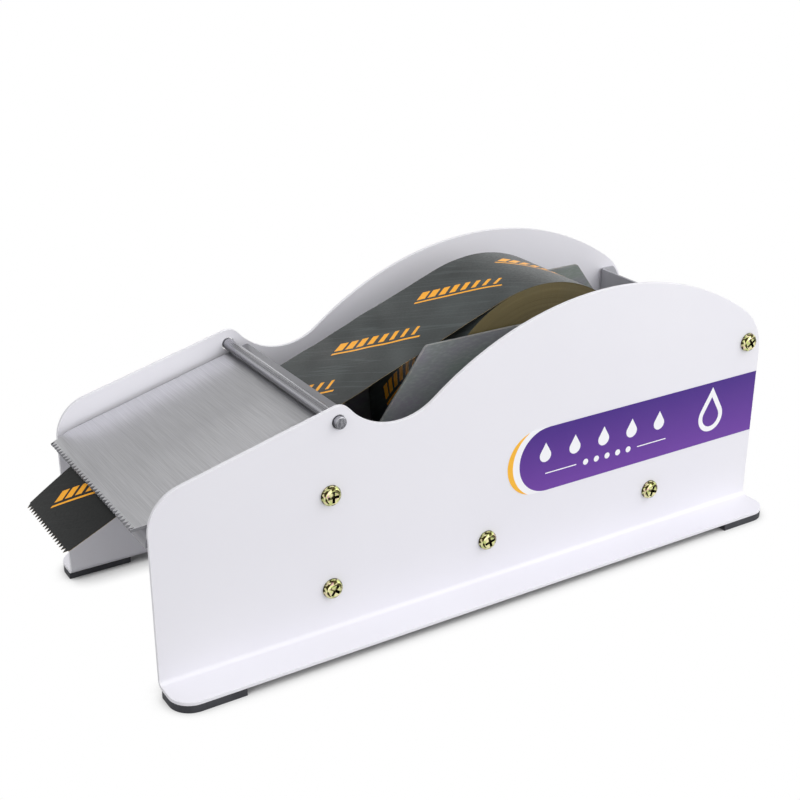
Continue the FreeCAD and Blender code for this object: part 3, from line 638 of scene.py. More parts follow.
@dataclass(frozen=True)
class BarPrint:
    """Orange motif on the tape: slanted bars that thin out over a rule, once in each pitch."""

    ink: str = "#FFB028"
    pitch_mm: float = 61.3
    start_mm: float = 35.5
    turn_degrees: float = 38.0
    half_length_mm: float = 27.0
    bar_pitch_mm: float = 6.75
    bar_lean: float = 0.45
    bar_bottom_mm: float = -1.6
    bar_top_mm: float = 6.0
    # Shares of their pitch that the first and the last bar fill.
    bar_shares: tuple[float, float] = (0.8, 0.25)
    rule_low_mm: float = -5.2
    rule_high_mm: float = -3.7

    def mask(self, along: Signal, across: Signal) -> Signal:
        """Cover of the ink.

        Args:
            along: distance along the tape in millimetres.
            across: distance from the tape's middle in millimetres.

        Returns:
            1 on ink, else 0. Per pitch, a runs along the motif and b up it; a bar is inked while
            the part of a within its cell is under a share that falls with a.
        """
        count = (along - self.start_mm) / self.pitch_mm
        local = (count - count.apply("ROUND")) * self.pitch_mm
        turn = math.radians(self.turn_degrees)
        a = local * math.cos(turn) - across * math.sin(turn)
        b = local * math.sin(turn) + across * math.cos(turn)
        leant = a - b * self.bar_lean
        inside = leant.apply("ABSOLUTE").below(self.half_length_mm)
        cell = (leant / self.bar_pitch_mm).apply("FRACT")
        share = a.between(-self.half_length_mm, self.half_length_mm, self.bar_shares)
        bars = cell.below(share) * b.above(self.bar_bottom_mm) * b.below(self.bar_top_mm)
        rule = b.above(self.rule_low_mm) * b.below(self.rule_high_mm)
        return bars.apply("MAXIMUM", rule) * inside


@dataclass(frozen=True)
class PrintedPaper(Finish):
    """Kraft paper printed dark over its whole face: creased, and darker and less glossy towards its
    torn end.
    """

    colour: str = "#272B2B"
    roughness: float = 0.36
    worn: str = "#4C5353"
    cloud_mm: float = 28.0
    cloud_span: tuple[float, float] = (0.25, 0.75)
    # Distances along the tape from its torn end, between which its darker end gives way to the
    # rest.
    end_fade_mm: tuple[float, float] = (70.0, 130.0)
    end_dark: str = "#131515"
    # Specular level at the darker end and on the rest.
    gloss: tuple[float, float] = (0.2, 0.5)
    back: str = "#A08B66"
    back_fibre: str = "#B19C74"
    fibre_mm: float = 1.2
    crease_mm: tuple[float, float, float] = (9.0, 120.0, 1.0)
    crease_lean: float = 0.8
    crease_half: float = 0.025
    # Share of creases among what rubs the ink.
    crease_share: float = 0.45
    # Shares of fibre, slanted waves and creases in the relief.
    relief_shares: tuple[float, float, float] = (0.25, 0.6, 0.15)
    relief_mm: float = 0.12
    motif: BarPrint = BarPrint()
    run: str = "tape_run"

    def places(self, pattern: Pattern) -> tuple[Signal, Signal, Signal]:
        """Distance along and across the tape in millimetres, and 1 on its printed face."""
        run = add_node(pattern.tree, "Attribute", attribute_name=self.run)
        return tuple(pattern.split(run.outputs["Vector"]))

    def detail(self, pattern: Pattern, shader: bpy.types.Node) -> None:
        """Ink, worn patches, paper fibre and creases that cross the tape at a slant.

        Args:
            pattern: patterns of the material's node tree.
            shader: the node whose sockets get them.
        """
        along, across, printed = self.places(pattern)
        fibre = pattern.grain((self.fibre_mm,) * 3, octaves=4.0)
        cloud = pattern.grain((self.cloud_mm,) * 3).between(*self.cloud_span)
        slanted = {"X": (along + across * self.crease_lean) * MM, "Y": across * MM, "Z": 0.0}
        slanted = add_node(pattern.tree, "CombineXYZ", slanted).outputs[0]
        slant = pattern.grain(self.crease_mm, slanted, 1.0)
        crease = (slant - 0.5).apply("ABSOLUTE").between(0.0, self.crease_half, (1.0, 0.0))
        rubbed = crease * self.crease_share + cloud * (1 - self.crease_share)
        end_fade = along.between(*self.end_fade_mm)
        ground = end_fade.tint(self.end_dark, rubbed.tint(self.colour, self.worn))
        inked = self.motif.mask(along, across).tint(ground, self.motif.ink)
        paper = fibre.between(*NOISE_SPAN).tint(self.back, self.back_fibre)
        fine, broad, sharp = self.relief_shares
        self.feed(
            shader,
            Base_Color=printed.above(0.5).tint(paper, inked),
            Roughness=fibre.between(*NOISE_SPAN, self.sheen_span()),
            Normal=pattern.relief(fibre * fine + slant * broad + crease * sharp, self.relief_mm),
            Specular_IOR_Level=end_fade.between(0.0, 1.0, self.gloss),
        )


@dataclass(frozen=True)
class WoundPaper(PrintedPaper):
    """The same paper wound into a roll: printed round its face, with layer edges on its sides."""

    centre: tuple[float, float] = (0.0, 0.0)
    radius: float = 0.078
    middle: float = 0.0
    leaves_at_mm: float = 0.0
    leaves_angle: float = 0.0
    # Faces that look further along Y than this are the roll's sides.
    side_from: float = 0.7
    turns: tuple[str, str, str] = ("#5C5135", "#706645", "#7B7150")
    # A layer is 0.15 mm thick; rings are drawn 0.7 mm apart, so that they show.
    ring_mm: tuple[float, float, float] = (0.7, 9.0, 1.0)
    ring_span: tuple[float, float] = (0.25, 0.75)
    broad_mm: tuple[float, float, float] = (7.0, 30.0, 1.0)
    broad_span: tuple[float, float] = (0.35, 0.65)
    stain: str = "#665D40"
    stain_mm: float = 16.0
    stain_span: tuple[float, float] = (0.4, 0.7)

    def places(self, pattern: Pattern) -> tuple[Signal, Signal, Signal]:
        """Find the distances by the angle about the roll's axis, and the face by its direction.

        Args:
            pattern: patterns of the material's node tree.

        Returns:
            Distance round and across the roll in millimetres, and 1 on its round face.
        """
        _, angle = pattern.wheel(self.centre)
        _, y, _ = pattern.split(pattern.place)
        _, facing, _ = pattern.split(pattern.facing)
        along = (angle - self.leaves_angle) * (-self.radius / MM) + self.leaves_at_mm
        return along, (y - self.middle) * (1 / MM), facing.apply("ABSOLUTE").below(self.side_from)

    def detail(self, pattern: Pattern, shader: bpy.types.Node) -> None:
        """Printed face, and rings of layer edges with lighter and darker turns on the sides.

        Args:
            pattern: patterns of the material's node tree.
            shader: the node whose sockets get them.
        """
        super().detail(pattern, shader)
        winding = pattern.winding(self.centre)
        ring = pattern.grain(self.ring_mm, winding, octaves=3.0).between(*self.ring_span)
        broad = pattern.grain(self.broad_mm, winding).between(*self.broad_span)
        stain = pattern.grain((self.stain_mm,) * 3).between(*self.stain_span)
        dark, middling, pale = self.turns
        side = stain.tint(ring.tint(dark, broad.tint(middling, pale)), self.stain)
        printed = self.places(pattern)[2]
        face = shader.inputs["Base Color"].links[0].from_socket
        self.feed(shader, Base_Color=printed.tint(side, face))


@dataclass(frozen=True)
class Greyboard(Finish):
    """Core tube wound from strips of board: matt, with fine layers at its ends."""

    centre: tuple[float, float] = (0.0, 0.0)
    seam: str = "#6F5C3E"
    ring_mm: tuple[float, float, float] = (0.5, 6.0, 1.0)
    ring_share: float = 0.6
    fibre_mm: float = 1.0
    fibre_depth_mm: float = 0.08
    colour_span: tuple[float, float] = (0.38, 0.62)

    def detail(self, pattern: Pattern, shader: bpy.types.Node) -> None:
        """Layers by radius, and paper fibre in the surface.

        Args:
            pattern: patterns of the material's node tree.
            shader: the node whose sockets get them.
        """
        ring = pattern.grain(self.ring_mm, pattern.winding(self.centre))
        fibre = pattern.grain((self.fibre_mm,) * 3, octaves=4.0)
        both = ring * self.ring_share + fibre * (1 - self.ring_share)
        self.feed(
            shader,
            Base_Color=both.between(*self.colour_span).tint(self.seam, self.colour),
            Normal=pattern.relief(fibre, self.fibre_depth_mm),
        )


@dataclass(frozen=True)
class LabelPrint(Finish):
    """Satin vinyl film: a violet band with a round end, a yellow crescent, and white marks.

    Lengths along the label are measured from its round end, and heights from its middle.
    """

    sheen_drift: tuple[float, float] = (0.03, 0.05)
    drift_mm: float = 9.0
    lower: str = "#6A3D9B"
    crescent: str = "#F2B53A"
    white: str = "#EFEFF3"
    specular: float = 0.25
    # Place of the label's round end and of its lower edge, and half its height.
    start: float = 0.0
    bottom: float = 0.0
    radius: float = 0.0
    band_at: float = 29.4 * MM
    gap_at: float = 27.0 * MM
    gap_radius: float = 23.1 * MM
    crescent_at: float = 20.8 * MM
    marks_per_row: int = 5
    drops_at: tuple[float, float] = (72.0 * MM, 2.6 * MM)
    drop_pitch: float = 22.2 * MM
    drop_radius: float = 4.2 * MM
    dots_at: tuple[float, float] = (75.6 * MM, -9.4 * MM)
    dot_pitch: float = 8.4 * MM
    dot_radius: float = 2.0 * MM
    rule_reach: tuple[float, float] = (24.0 * MM, 47.5 * MM)
    rule_half: float = 0.35 * MM
    emblem_at: tuple[float, float] = (160.5 * MM, -3.0 * MM)
    emblem_radius: float = 10.2 * MM
    emblem_hole: float = 6.8 * MM

    def disc(self, x: Signal, z: Signal, radius: float) -> Signal:
        """1 within a radius of the origin."""
        return (x * x + z * z).apply("SQRT").below(radius)

    def drop(self, x: Signal, z: Signal, radius: float) -> Signal:
        """Water drop: a disc, and a tip whose sides touch it and meet at twice its radius.

        Args:
            x: distance along the label from the disc's middle.
            z: height over the disc's middle.
            radius: the disc's radius.

        Returns:
            1 on the drop, else 0.
        """
        side = (z - 2 * radius) * (-1 / math.sqrt(3))
        tip = x.apply("ABSOLUTE").below(side) * z.above(radius / 2)
        return self.disc(x, z, radius).apply("MAXIMUM", tip)

    def row(self, x: Signal, pitch: float) -> tuple[Signal, Signal]:
        """Repeat a mark along the label.

        Args:
            x: distance along the label from the row's middle.
            pitch: distance between neighbours.

        Returns:
            Distance from the nearest mark's middle, and 1 within the row.
        """
        count = x / pitch
        inside = count.apply("ABSOLUTE").below(self.marks_per_row / 2)
        return (count - count.apply("ROUND")) * pitch, inside

    def marks(self, x: Signal, z: Signal) -> Signal:
        """A row of drops, a row of dots between two rules, and one outlined drop.

        Args:
            x: distance along the label from its round end.
            z: height over the label's middle.

        Returns:
            1 on a mark, else 0.
        """
        near, inside = self.row(x - self.drops_at[0], self.drop_pitch)
        drops = self.drop(near, z - self.drops_at[1], self.drop_radius) * inside
        across, up = x - self.dots_at[0], z - self.dots_at[1]
        near, inside = self.row(across, self.dot_pitch)
        dots = self.disc(near, up, self.dot_radius) * inside
        away = across.apply("ABSOLUTE")
        rule = up.apply("ABSOLUTE").below(self.rule_half)
        rule = rule * away.above(self.rule_reach[0]) * away.below(self.rule_reach[1])
        across, up = x - self.emblem_at[0], z - self.emblem_at[1]
        emblem = self.drop(across, up, self.emblem_radius) - self.drop(across, up, self.emblem_hole)
        return drops.apply("MAXIMUM", dots).apply("MAXIMUM", rule).apply("MAXIMUM", emblem)

    def detail(self, pattern: Pattern, shader: bpy.types.Node) -> None:
        """Marks on the band, and the crescent beside it, in colour; a slow drift in the sheen.

        Args:
            pattern: patterns of the material's node tree.
            shader: the node whose sockets get them.
        """
        x, _, z = pattern.split(pattern.place)
        x, z = x - self.start, z - (self.bottom + self.radius)
        end = self.disc(x - self.band_at, z, self.radius)
        band = end.apply("MAXIMUM", x.above(self.band_at))
        gap = self.disc(x - self.gap_at, z, self.gap_radius)
        crescent = self.disc(x - self.crescent_at, z, self.radius) - gap
        violet = z.between(-self.radius, self.radius).tint(self.lower, self.colour)
        plain = crescent.tint(self.white, self.crescent)
        shader.inputs["Specular IOR Level"].default_value = self.specular
        drift = pattern.grain((self.drift_mm,) * 3)
        self.feed(
            shader,
            Base_Color=band.tint(plain, self.marks(x, z).tint(violet, self.white)),
            Roughness=drift.between(*NOISE_SPAN, self.sheen_span()),
        )


class FinishOf(Enum):
    """Finishes of the pieces that keep their CAD shape."""

    WHITE = PowderCoat("satin_white_powder_coat_on_steel", "#E7E6EC", 0.42)
    # Its edge colour is a painted highlight, as on the white coat.
    GREY = PowderCoat(
        "satin_grey_powder_coat_on_steel", "#A6A6AC", 0.45, shade="#9D9DA3", edge="#B4B4BA"
    )
    GUIDE = BluedSheet("blued_steel_sheet_oiled", "#979C9D", 0.46, 0.4)
    # The flap's rear part is painted darker: a painted shade behind the rod.
    FLAP = BrushedSheet(
        "brushed_stainless_sheet", "#E5E5E8", 0.34, 1.0, sheared_below=0.6, rear_shade_from=-0.083
    )
    SHEET = BrushedSheet(
        "cold_rolled_stainless_sheet", "#C9CACE", 0.4, 1.0, dark="#B7B8BC", line_mm=1.5
    )
    # The table's sheet is painted darker than the same sheet elsewhere: a painted shade on its
    # nose.
    TABLE = BrushedSheet(
        "shaded_cold_rolled_sheet", "#8E8E93", 0.42, 1.0, dark="#7E7E83", line_mm=1.5
    )
    # The rod's underside is painted darker, a painted shade, and its sawn ends partly so.
    ROD = TurnedMetal(
        "bright_drawn_steel_rod", "#B6B6BB", 0.24, 1.0, dark="#A6A6AB", sawn_and_shaded="#909095", underside_shade=0.3,
        mark_mm=(0.25, 60.0, 0.25), mark_depth_mm=0.001,
    )
    ROLLER = TurnedMetal("turned_aluminium", "#B4B5B8", 0.32, 1.0, dark="#8F9093")
    YELLOW_ZINC = Passivated("yellow_chromated_zinc_on_steel", "#EFE9B4", 0.15, 1.0)
    # Its recess colour is painted shade too, and its dark patch colour a painted reflection.
    CLEAR_ZINC = Passivated(
        "clear_passivated_zinc_on_steel", "#BCC0C6", 0.3, 1.0, second="#AEB4C0", third="#C2BFC4",
        recess_shade="#55565A", dark_reflection="#8A8D94",
    )
    RUBBER = Moulded("moulded_black_rubber", "#2C2D32", 0.72)
    KNOB = Moulded(
        "moulded_black_abs", "#1D1D20", 0.38, lift="#242428", grain_mm=0.4, grain_depth_mm=0.01
    )
    NYLON = Moulded(
        "machined_natural_nylon", "#DEDACB", 0.42, lift="#D0CBB8",
        grain_mm=0.5, grain_depth_mm=0.01,
    )
    FELT = Felt("pressed_wool_felt", "#CECEC2", 0.95)


# ---- pieces ----


def dress(finish: FinishOf | Finish, *nodes: str) -> None:
    """Give CAD pieces a finish.

    Args:
        finish: the finish, or its name in FinishOf.
        nodes: names of the CAD pieces.
    """
    kind = finish.value if isinstance(finish, FinishOf) else finish
    for name in nodes:
        slots = NODES[name].data.materials
        slots.clear()
        slots.append(kind.material())
        LOG.info("%s: %s", name, kind.name)


def middle_of(node: str) -> tuple[Vector, Vector]:
    """Middle and half extents of a CAD piece's box, in metres."""
    low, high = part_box(node)
    return (low + high) / 2, (high - low) / 2


def grid_faces(rows: int, columns: int, offset: int = 0, flip: bool = False) -> np.ndarray:
    """Quads of an open grid of points numbered row by row.

    Args:
        rows: points along the first way.
        columns: points along the second way.
        offset: number of the first point.
        flip: turn the faces over.

    Returns:
        One row of four point numbers per quad.
    """
    i, j = np.meshgrid(np.arange(rows - 1), np.arange(columns - 1), indexing="ij")
    corner = (i * columns + j).ravel() + offset
    quads = np.stack([corner, corner + columns, corner + columns + 1, corner + 1], axis=1)
    return quads[:, ::-1] if flip else quads


def new_piece(
    name: str, points: np.ndarray, faces: np.ndarray, finish: Finish, smooth_degrees: float = 35.0
) -> bpy.types.Object:
    """Make a mesh object at the origin.

    Args:
        name: name of the piece.
        points: one row of x, y and z per point, in metres.
        faces: one row of four point numbers per face.
        finish: its finish.
        smooth_degrees: edges sharper than this stay sharp.

    Returns:
        The new object.
    """
    mesh = bpy.data.meshes.new(name)
    mesh.from_pydata(points.tolist(), [], faces.tolist())
    mesh.shade_smooth()
    mesh.set_sharp_from_angle(angle=math.radians(smooth_degrees))
    mesh.materials.append(finish.material())
    piece = bpy.data.objects.new(name, mesh)
    bpy.context.scene.collection.objects.link(piece)
    LOG.info("%s: %d faces, %s", name, len(faces), finish.name)
    return piece


@dataclass
class TapePath:
    """Side view of the tape's upper face: torn end, fold, table, dip below the rod, and roll."""

    # Slopes of the flap, the table, the hanging end, and the way from the table to the low point.
    flap_degrees: float = 15.0
    table_degrees: float = 13.6
    droop_degrees: float = 27.5
    dip_degrees: float = 4.0
    # At right angles: from the rod's axis to the flap's upper face, and from there to the tape.
    under_rod: float = 3.56 * MM
    under_flap: float = 1.8 * MM
    # Along x: from the torn end to the fold, and from the table's rear edge to the rod.
    fold_inset: float = 37.5 * MM
    crest_before_rod: float = 18.56 * MM
    # From the rod's axis to the rising part, which leaves the flap room to turn.
    flap_room: float = 11.99 * MM
    # From the wound paper to the tape's upper face, where the two meet and where the tape ends.
    off_roll: float = 0.7 * MM
    end_off_roll: float = 0.03 * MM
    wrap_degrees: float = 12.0
    wrap_points: int = 25
    rounding: float = 6 * MM
    step: float = 0.5 * MM
    points: np.ndarray = field(init=False)
    length: np.ndarray = field(init=False)
    fold_at: float = field(init=False)
    low_at: float = field(init=False)
    leaves_at: float = field(init=False)
    leaves_angle: float = field(init=False)

    def __post_init__(self) -> None:
        """Join the corners by straight lines, cut these into equal steps, and round them.

        Each point becomes the mean of its neighbours within the rounding distance.
        """
        corners, self.leaves_angle = self.corners()
        lengths = np.linalg.norm(np.diff(corners, axis=0), axis=1)
        reached = np.concatenate([[0], np.cumsum(lengths)])
        self.fold_at, _, self.low_at, self.leaves_at = reached[1:5]
        self.length = np.linspace(0, reached[-1], round(reached[-1] / self.step) + 1)
        even = np.stack([np.interp(self.length, reached, corners[:, k]) for k in (0, 1)], axis=1)
        near = round(self.rounding / self.step)
        padded = np.pad(even, ((near, near), (0, 0)), mode="reflect", reflect_type="odd")
        kernel = np.full(2 * near + 1, 1 / (2 * near + 1))
        rounded = [np.convolve(padded[:, k], kernel, mode="valid") for k in (0, 1)]
        self.points = np.stack(rounded, axis=1)

    def corners(self) -> tuple[np.ndarray, float]:
        """Work out the corners from the rod, the strip and the roll.

        The line goes straight between torn end, fold, the table's rear edge, the low point and
        the roll's tangent point, then round the roll while it closes in on it. The rising part
        passes the rod at the distance that the turning flap needs.

        Returns:
            One row of x and z per corner in metres, and the angle at which the tape leaves the
            roll.
        """
        rod, _ = middle_of("pivot_rod")
        roll, reach = middle_of("tape_roll")
        degrees = (self.flap_degrees, self.table_degrees, self.dip_degrees, self.droop_degrees)
        slope, table, dip, droop = (math.tan(math.radians(d)) for d in degrees)
        fold_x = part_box("tape_strip")[0].x + self.fold_inset
        under = (self.under_rod + self.under_flap) * math.hypot(1, slope)
        fold_z = rod.z + (fold_x - rod.x) * slope - under
        tip = (fold_x - self.fold_inset, fold_z - self.fold_inset * droop)
        crest_x = rod.x - self.crest_before_rod
        crest_z = fold_z + (crest_x - fold_x) * table
        run = math.dist((rod.x, rod.z), (roll.x, roll.z))
        apart = reach.z + self.off_roll + self.flap_room
        rise = math.asin(apart / run) + math.atan2(roll.z - rod.z, roll.x - rod.x)
        beside_x = rod.x + self.flap_room * math.sin(rise)
        beside_z = rod.z - self.flap_room * math.cos(rise)
        steep = math.tan(rise)
        low_x = (crest_z - beside_z + crest_x * dip + beside_x * steep) / (dip + steep)
        low_z = crest_z - (low_x - crest_x) * dip
        leaves = rise + math.pi / 2
        turn = leaves - np.radians(np.linspace(0, self.wrap_degrees, self.wrap_points))
        radii = reach.z + np.linspace(self.off_roll, self.end_off_roll, self.wrap_points)
        wrap = np.stack([roll.x + radii * np.cos(turn), roll.z + radii * np.sin(turn)], axis=1)
        line = [tip, (fold_x, fold_z), (crest_x, crest_z), (low_x, low_z)]
        return np.vstack([line, wrap]), leaves

    def at(self, distance: np.ndarray) -> tuple[np.ndarray, np.ndarray]:
        """Points and upward directions at distances from the torn end.

        Args:
            distance: any array of distances in metres.

        Returns:
            The x and z of each point, and of the unit direction at right angles to the line there.
        """
        slope = np.gradient(self.points, self.length, axis=0)
        slope /= np.linalg.norm(slope, axis=1, keepdims=True)
        upward = np.stack([-slope[:, 1], slope[:, 0]], axis=1)
        place, normal = (
            np.stack([np.interp(distance, self.length, table[:, k]) for k in (0, 1)], axis=-1)
            for table in (self.points, upward)
        )
        return place, normal


@dataclass
class TapeStrip:
    """The tape that has left the roll: torn teeth, a twist at the end, and slight waves."""

    path: TapePath
    finish: PrintedPaper = PrintedPaper("dark_printed_kraft_paper_tape")
    thickness: float = 0.3 * MM
    end_thickness: float = 0.02 * MM
    tooth_pitch: float = 3.6 * MM
    tooth_depth: float = 2.6 * MM
    columns_per_tooth: int = 4
    rows: int = 190
    # Power that draws the rows a little closer together towards the torn end.
    row_growth: float = 1.08
    # How far the torn end's near corner is lifted, and its far corner lowered.
    lift_near: float = 1.4 * MM
    drop_far: float = 3.6 * MM
    twist_power: float = 1.5
    # The waves' height, and along and across the tape the length of the slow one and the quick one.
    wave: float = 0.45 * MM
    slow_wave: tuple[float, float] = (58 * MM, 110 * MM)
    quick_wave: tuple[float, float] = (23 * MM, -47 * MM)
    quick_share: float = 0.3

    def build(self) -> bpy.types.Object:
        """Build the strip, mark its points for the print, and put it in place of its CAD piece.

        Returns:
            The strip.
        """
        s, t = self.places()
        strip = new_piece("printed_tape", self.points(s, t), self.faces(*s.shape), self.finish)
        upper = np.stack([s.ravel() / MM, t.ravel() / MM, np.ones(s.size)], axis=1)
        lower = upper * (1, 1, 0)
        mark = strip.data.attributes.new(self.finish.run, "FLOAT_VECTOR", "POINT")
        mark.data.foreach_set("vector", np.vstack([upper, lower]).astype(np.float32).ravel())
        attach(strip, "frame")
        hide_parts("tape_strip")
        return strip

    def places(self) -> tuple[np.ndarray, np.ndarray]:
        """Lay a grid over the tape, with columns to suit its teeth and rows from their zigzag on.

        Returns:
            Distances along the path and across from the tape's middle, in metres, row by row.
        """
        _, half = middle_of("tape_strip")
        teeth = int(2 * half.y / self.tooth_pitch)
        halves = np.linspace(-0.5, 0.5, teeth * self.columns_per_tooth + 1)
        inner = halves * teeth * self.tooth_pitch
        across = np.concatenate([[-half.y], inner, [half.y]])
        zigzag = np.abs(((across / self.tooth_pitch + teeth / 2) % 1) * 2 - 1)
        start = self.tooth_depth * zigzag
        start[[0, -1]] = self.tooth_depth
        share = np.linspace(0, 1, self.rows)[:, None] ** self.row_growth
        s = start + (self.path.length[-1] - start) * share
        return s, np.broadcast_to(across, s.shape)

    def points(self, s: np.ndarray, t: np.ndarray) -> np.ndarray:
        """Raise the path's points along its upward direction by the end's twist and the waves.

        The lower face lies a thickness below the upper one. On the roll the tape thins out, so that
        it runs into the roll's outer turn.

        Args:
            s: distances along the path.
            t: distances across, from the tape's middle.

        Returns:
            One row of x, y and z per point of the upper and then of the lower face.
        """
        middle, half = middle_of("tape_strip")
        place, normal = self.path.at(s)
        lift = self.twist(s, t / half.y) + self.waves(s, t)
        ends = (self.path.leaves_at, self.path.length[-1])
        thickness = np.interp(s, ends, (self.thickness, self.end_thickness))
        layers = []
        for depth in (0.0, thickness):
            xz = place + normal * (lift - depth)[..., None]
            layers.append(np.stack([xz[..., 0], middle.y + t, xz[..., 1]], axis=-1).reshape(-1, 3))
        return np.vstack(layers)

    @staticmethod
    def faces(rows: int, columns: int) -> np.ndarray:
        """Quads of the upper face, the lower face and the rim between them.

        Args:
            rows: rows of points on each face.
            columns: points in each row.

        Returns:
            One row of four point numbers per quad.
        """
        below = rows * columns
        index = np.arange(below).reshape(rows, columns)
        rim = np.concatenate([index[0, :-1], index[:-1, -1], index[-1, :0:-1], index[:0:-1, 0]])
        after = np.roll(rim, -1)
        edge = np.stack([rim, after, after + below, rim + below], axis=1)[:, ::-1]
        upper = grid_faces(rows, columns, flip=True)
        return np.vstack([upper, grid_faces(rows, columns, below), edge])

    def twist(self, s: np.ndarray, side: np.ndarray) -> np.ndarray:
        """Height of the hanging end's twist, which grows from the fold to the torn end.

        Args:
            s: distances along the path.
            side: places across, from -1 at the near edge to 1 at the far edge.

        Returns:
            The height at each place, in metres.
        """
        free = np.clip(1 - s / self.path.fold_at, 0, 1) ** self.twist_power
        mean = (self.lift_near - self.drop_far) / 2
        lean = (self.lift_near + self.drop_far) / 2
        return free * (mean - lean * side)

    def waves(self, s: np.ndarray, t: np.ndarray) -> np.ndarray:
        """Two crossing sine waves, strongest halfway between dip and roll, and none outside.

        Args:
            s: distances along the path.
            t: distances across, from the tape's middle.

        Returns:
            The height at each place, in metres.
        """
        way = np.clip((s - self.path.low_at) / (self.path.leaves_at - self.path.low_at), 0, 1)
        free = np.sin(math.pi * way) ** 2
        slow, quick = (
            np.sin(2 * math.pi * (s / along + t / across))
            for along, across in (self.slow_wave, self.quick_wave)
        )
        return self.wave * free * ((1 - self.quick_share) * slow + self.quick_share * quick)


@dataclass
class WoundRoll:
    """The roll of tape on its core, with uneven layer edges on both sides."""

    path: TapePath
    around: int = 240
    layers: int = 74
    unevenness: float = 0.3 * MM
    # A layer's depth is this share of its own random number, and the rest of its neighbour's.
    own_share: float = 0.6
    smooth_degrees: float = 50.0
    seed: int = 7

    def build(self) -> bpy.types.Object:
        """Build the roll, put it in place of its CAD piece, and dress its core.

        Returns:
            The roll.
        """
        middle, half = middle_of("tape_roll")
        finish = WoundPaper(
            "wound_kraft_paper_tape",
            centre=(middle.x, middle.z), radius=half.z, middle=middle.y,
            leaves_at_mm=self.path.leaves_at / MM, leaves_angle=self.path.leaves_angle,
        )
        roll = new_piece("wound_tape_roll", *self.surface(), finish, self.smooth_degrees)
        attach(roll, "roll")
        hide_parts("tape_roll")
        board = Greyboard("spiral_wound_greyboard_core", "#8E7A57", 0.9, centre=finish.centre)
        dress(board, "roll_core")
        return roll

    def surface(self) -> tuple[np.ndarray, np.ndarray]:
        """Turn a closed profile of radius and y about the roll's axis.

        The profile goes up one side, over the face, down the other side and through the bore. The
        sides step in and out at random.

        Returns:
            One row of x, y and z per point, and one row of four point numbers per quad.
        """
        middle, half = middle_of("tape_roll")
        bore = middle_of("roll_core")[1].z
        rng = np.random.default_rng(self.seed)
        radius = np.linspace(bore, half.z, self.layers)
        uneven = rng.random((2, self.layers))
        beside = np.roll(uneven, 1, axis=1)
        uneven = self.unevenness * (self.own_share * uneven + (1 - self.own_share) * beside)
        uneven[:, [0, -1]] = 0
        radii = np.concatenate([radius, radius[::-1]])
        offset = np.concatenate([-half.y + uneven[0], (half.y - uneven[1])[::-1]])
        turn = np.linspace(0, 2 * math.pi, self.around, endpoint=False)
        points = np.stack([
            middle.x + np.outer(np.cos(turn), radii),
            np.broadcast_to(middle.y + offset, (self.around, len(radii))),
            middle.z + np.outer(np.sin(turn), radii),
        ], axis=-1).reshape(-1, 3)
        number = np.arange(self.around * len(radii)).reshape(self.around, len(radii))
        right, up = np.roll(number, -1, axis=0), np.roll(number, -1, axis=1)
        both = np.roll(right, -1, axis=1)
        return points, np.stack([number, right, both, up], axis=-1).reshape(-1, 4)


@dataclass
class Body:
    """Side plates, feet, cross walls and the water unit, which keep their CAD shapes."""

    def build(self) -> None:
        """Dress every piece."""
        dress(FinishOf.WHITE, "left_side_plate", "right_side_plate")
        dress(FinishOf.GREY, "floor_tray", "back_plate")
        dress(FinishOf.FLAP, "tear_flap")
        dress(FinishOf.SHEET, "tank_shelf", "water_tank", "flap_welds")
        dress(FinishOf.TABLE, "tape_table")
        dress(FinishOf.ROD, "pivot_rod", "wetting_axle", "front_cradle_axle", "rear_cradle_axle")
        dress(FinishOf.ROLLER, "front_cradle_roller", "rear_cradle_roller", "wetting_core")
        dress(FinishOf.ROLLER, "floor_rivets", "shelf_rivets")
        dress(FinishOf.NYLON, "tank_bushes")
        dress(FinishOf.FELT, "wetting_sleeve")
        dress(FinishOf.YELLOW_ZINC, "side_screws")
        dress(FinishOf.CLEAR_ZINC, "side_nuts")
        middle, half = middle_of("side_label")
        start, bottom = middle.x - half.x, middle.z - half.z
        film = LabelPrint(
            "printed_vinyl_film", "#44267F", 0.45, start=start, bottom=bottom, radius=half.z
        )
        dress(film, "side_label")
        for side in ("left", "right"):
            dress(FinishOf.RUBBER, f"front_{side}_foot", f"rear_{side}_foot")
            dress(FinishOf.GUIDE, f"{side}_guide")
            dress(FinishOf.CLEAR_ZINC, f"{side}_guide_washers", f"{side}_slide_nuts")
            dress(FinishOf.KNOB, f"front_{side}_thumb_screw", f"rear_{side}_thumb_screw")


# ---- studio and camera ----


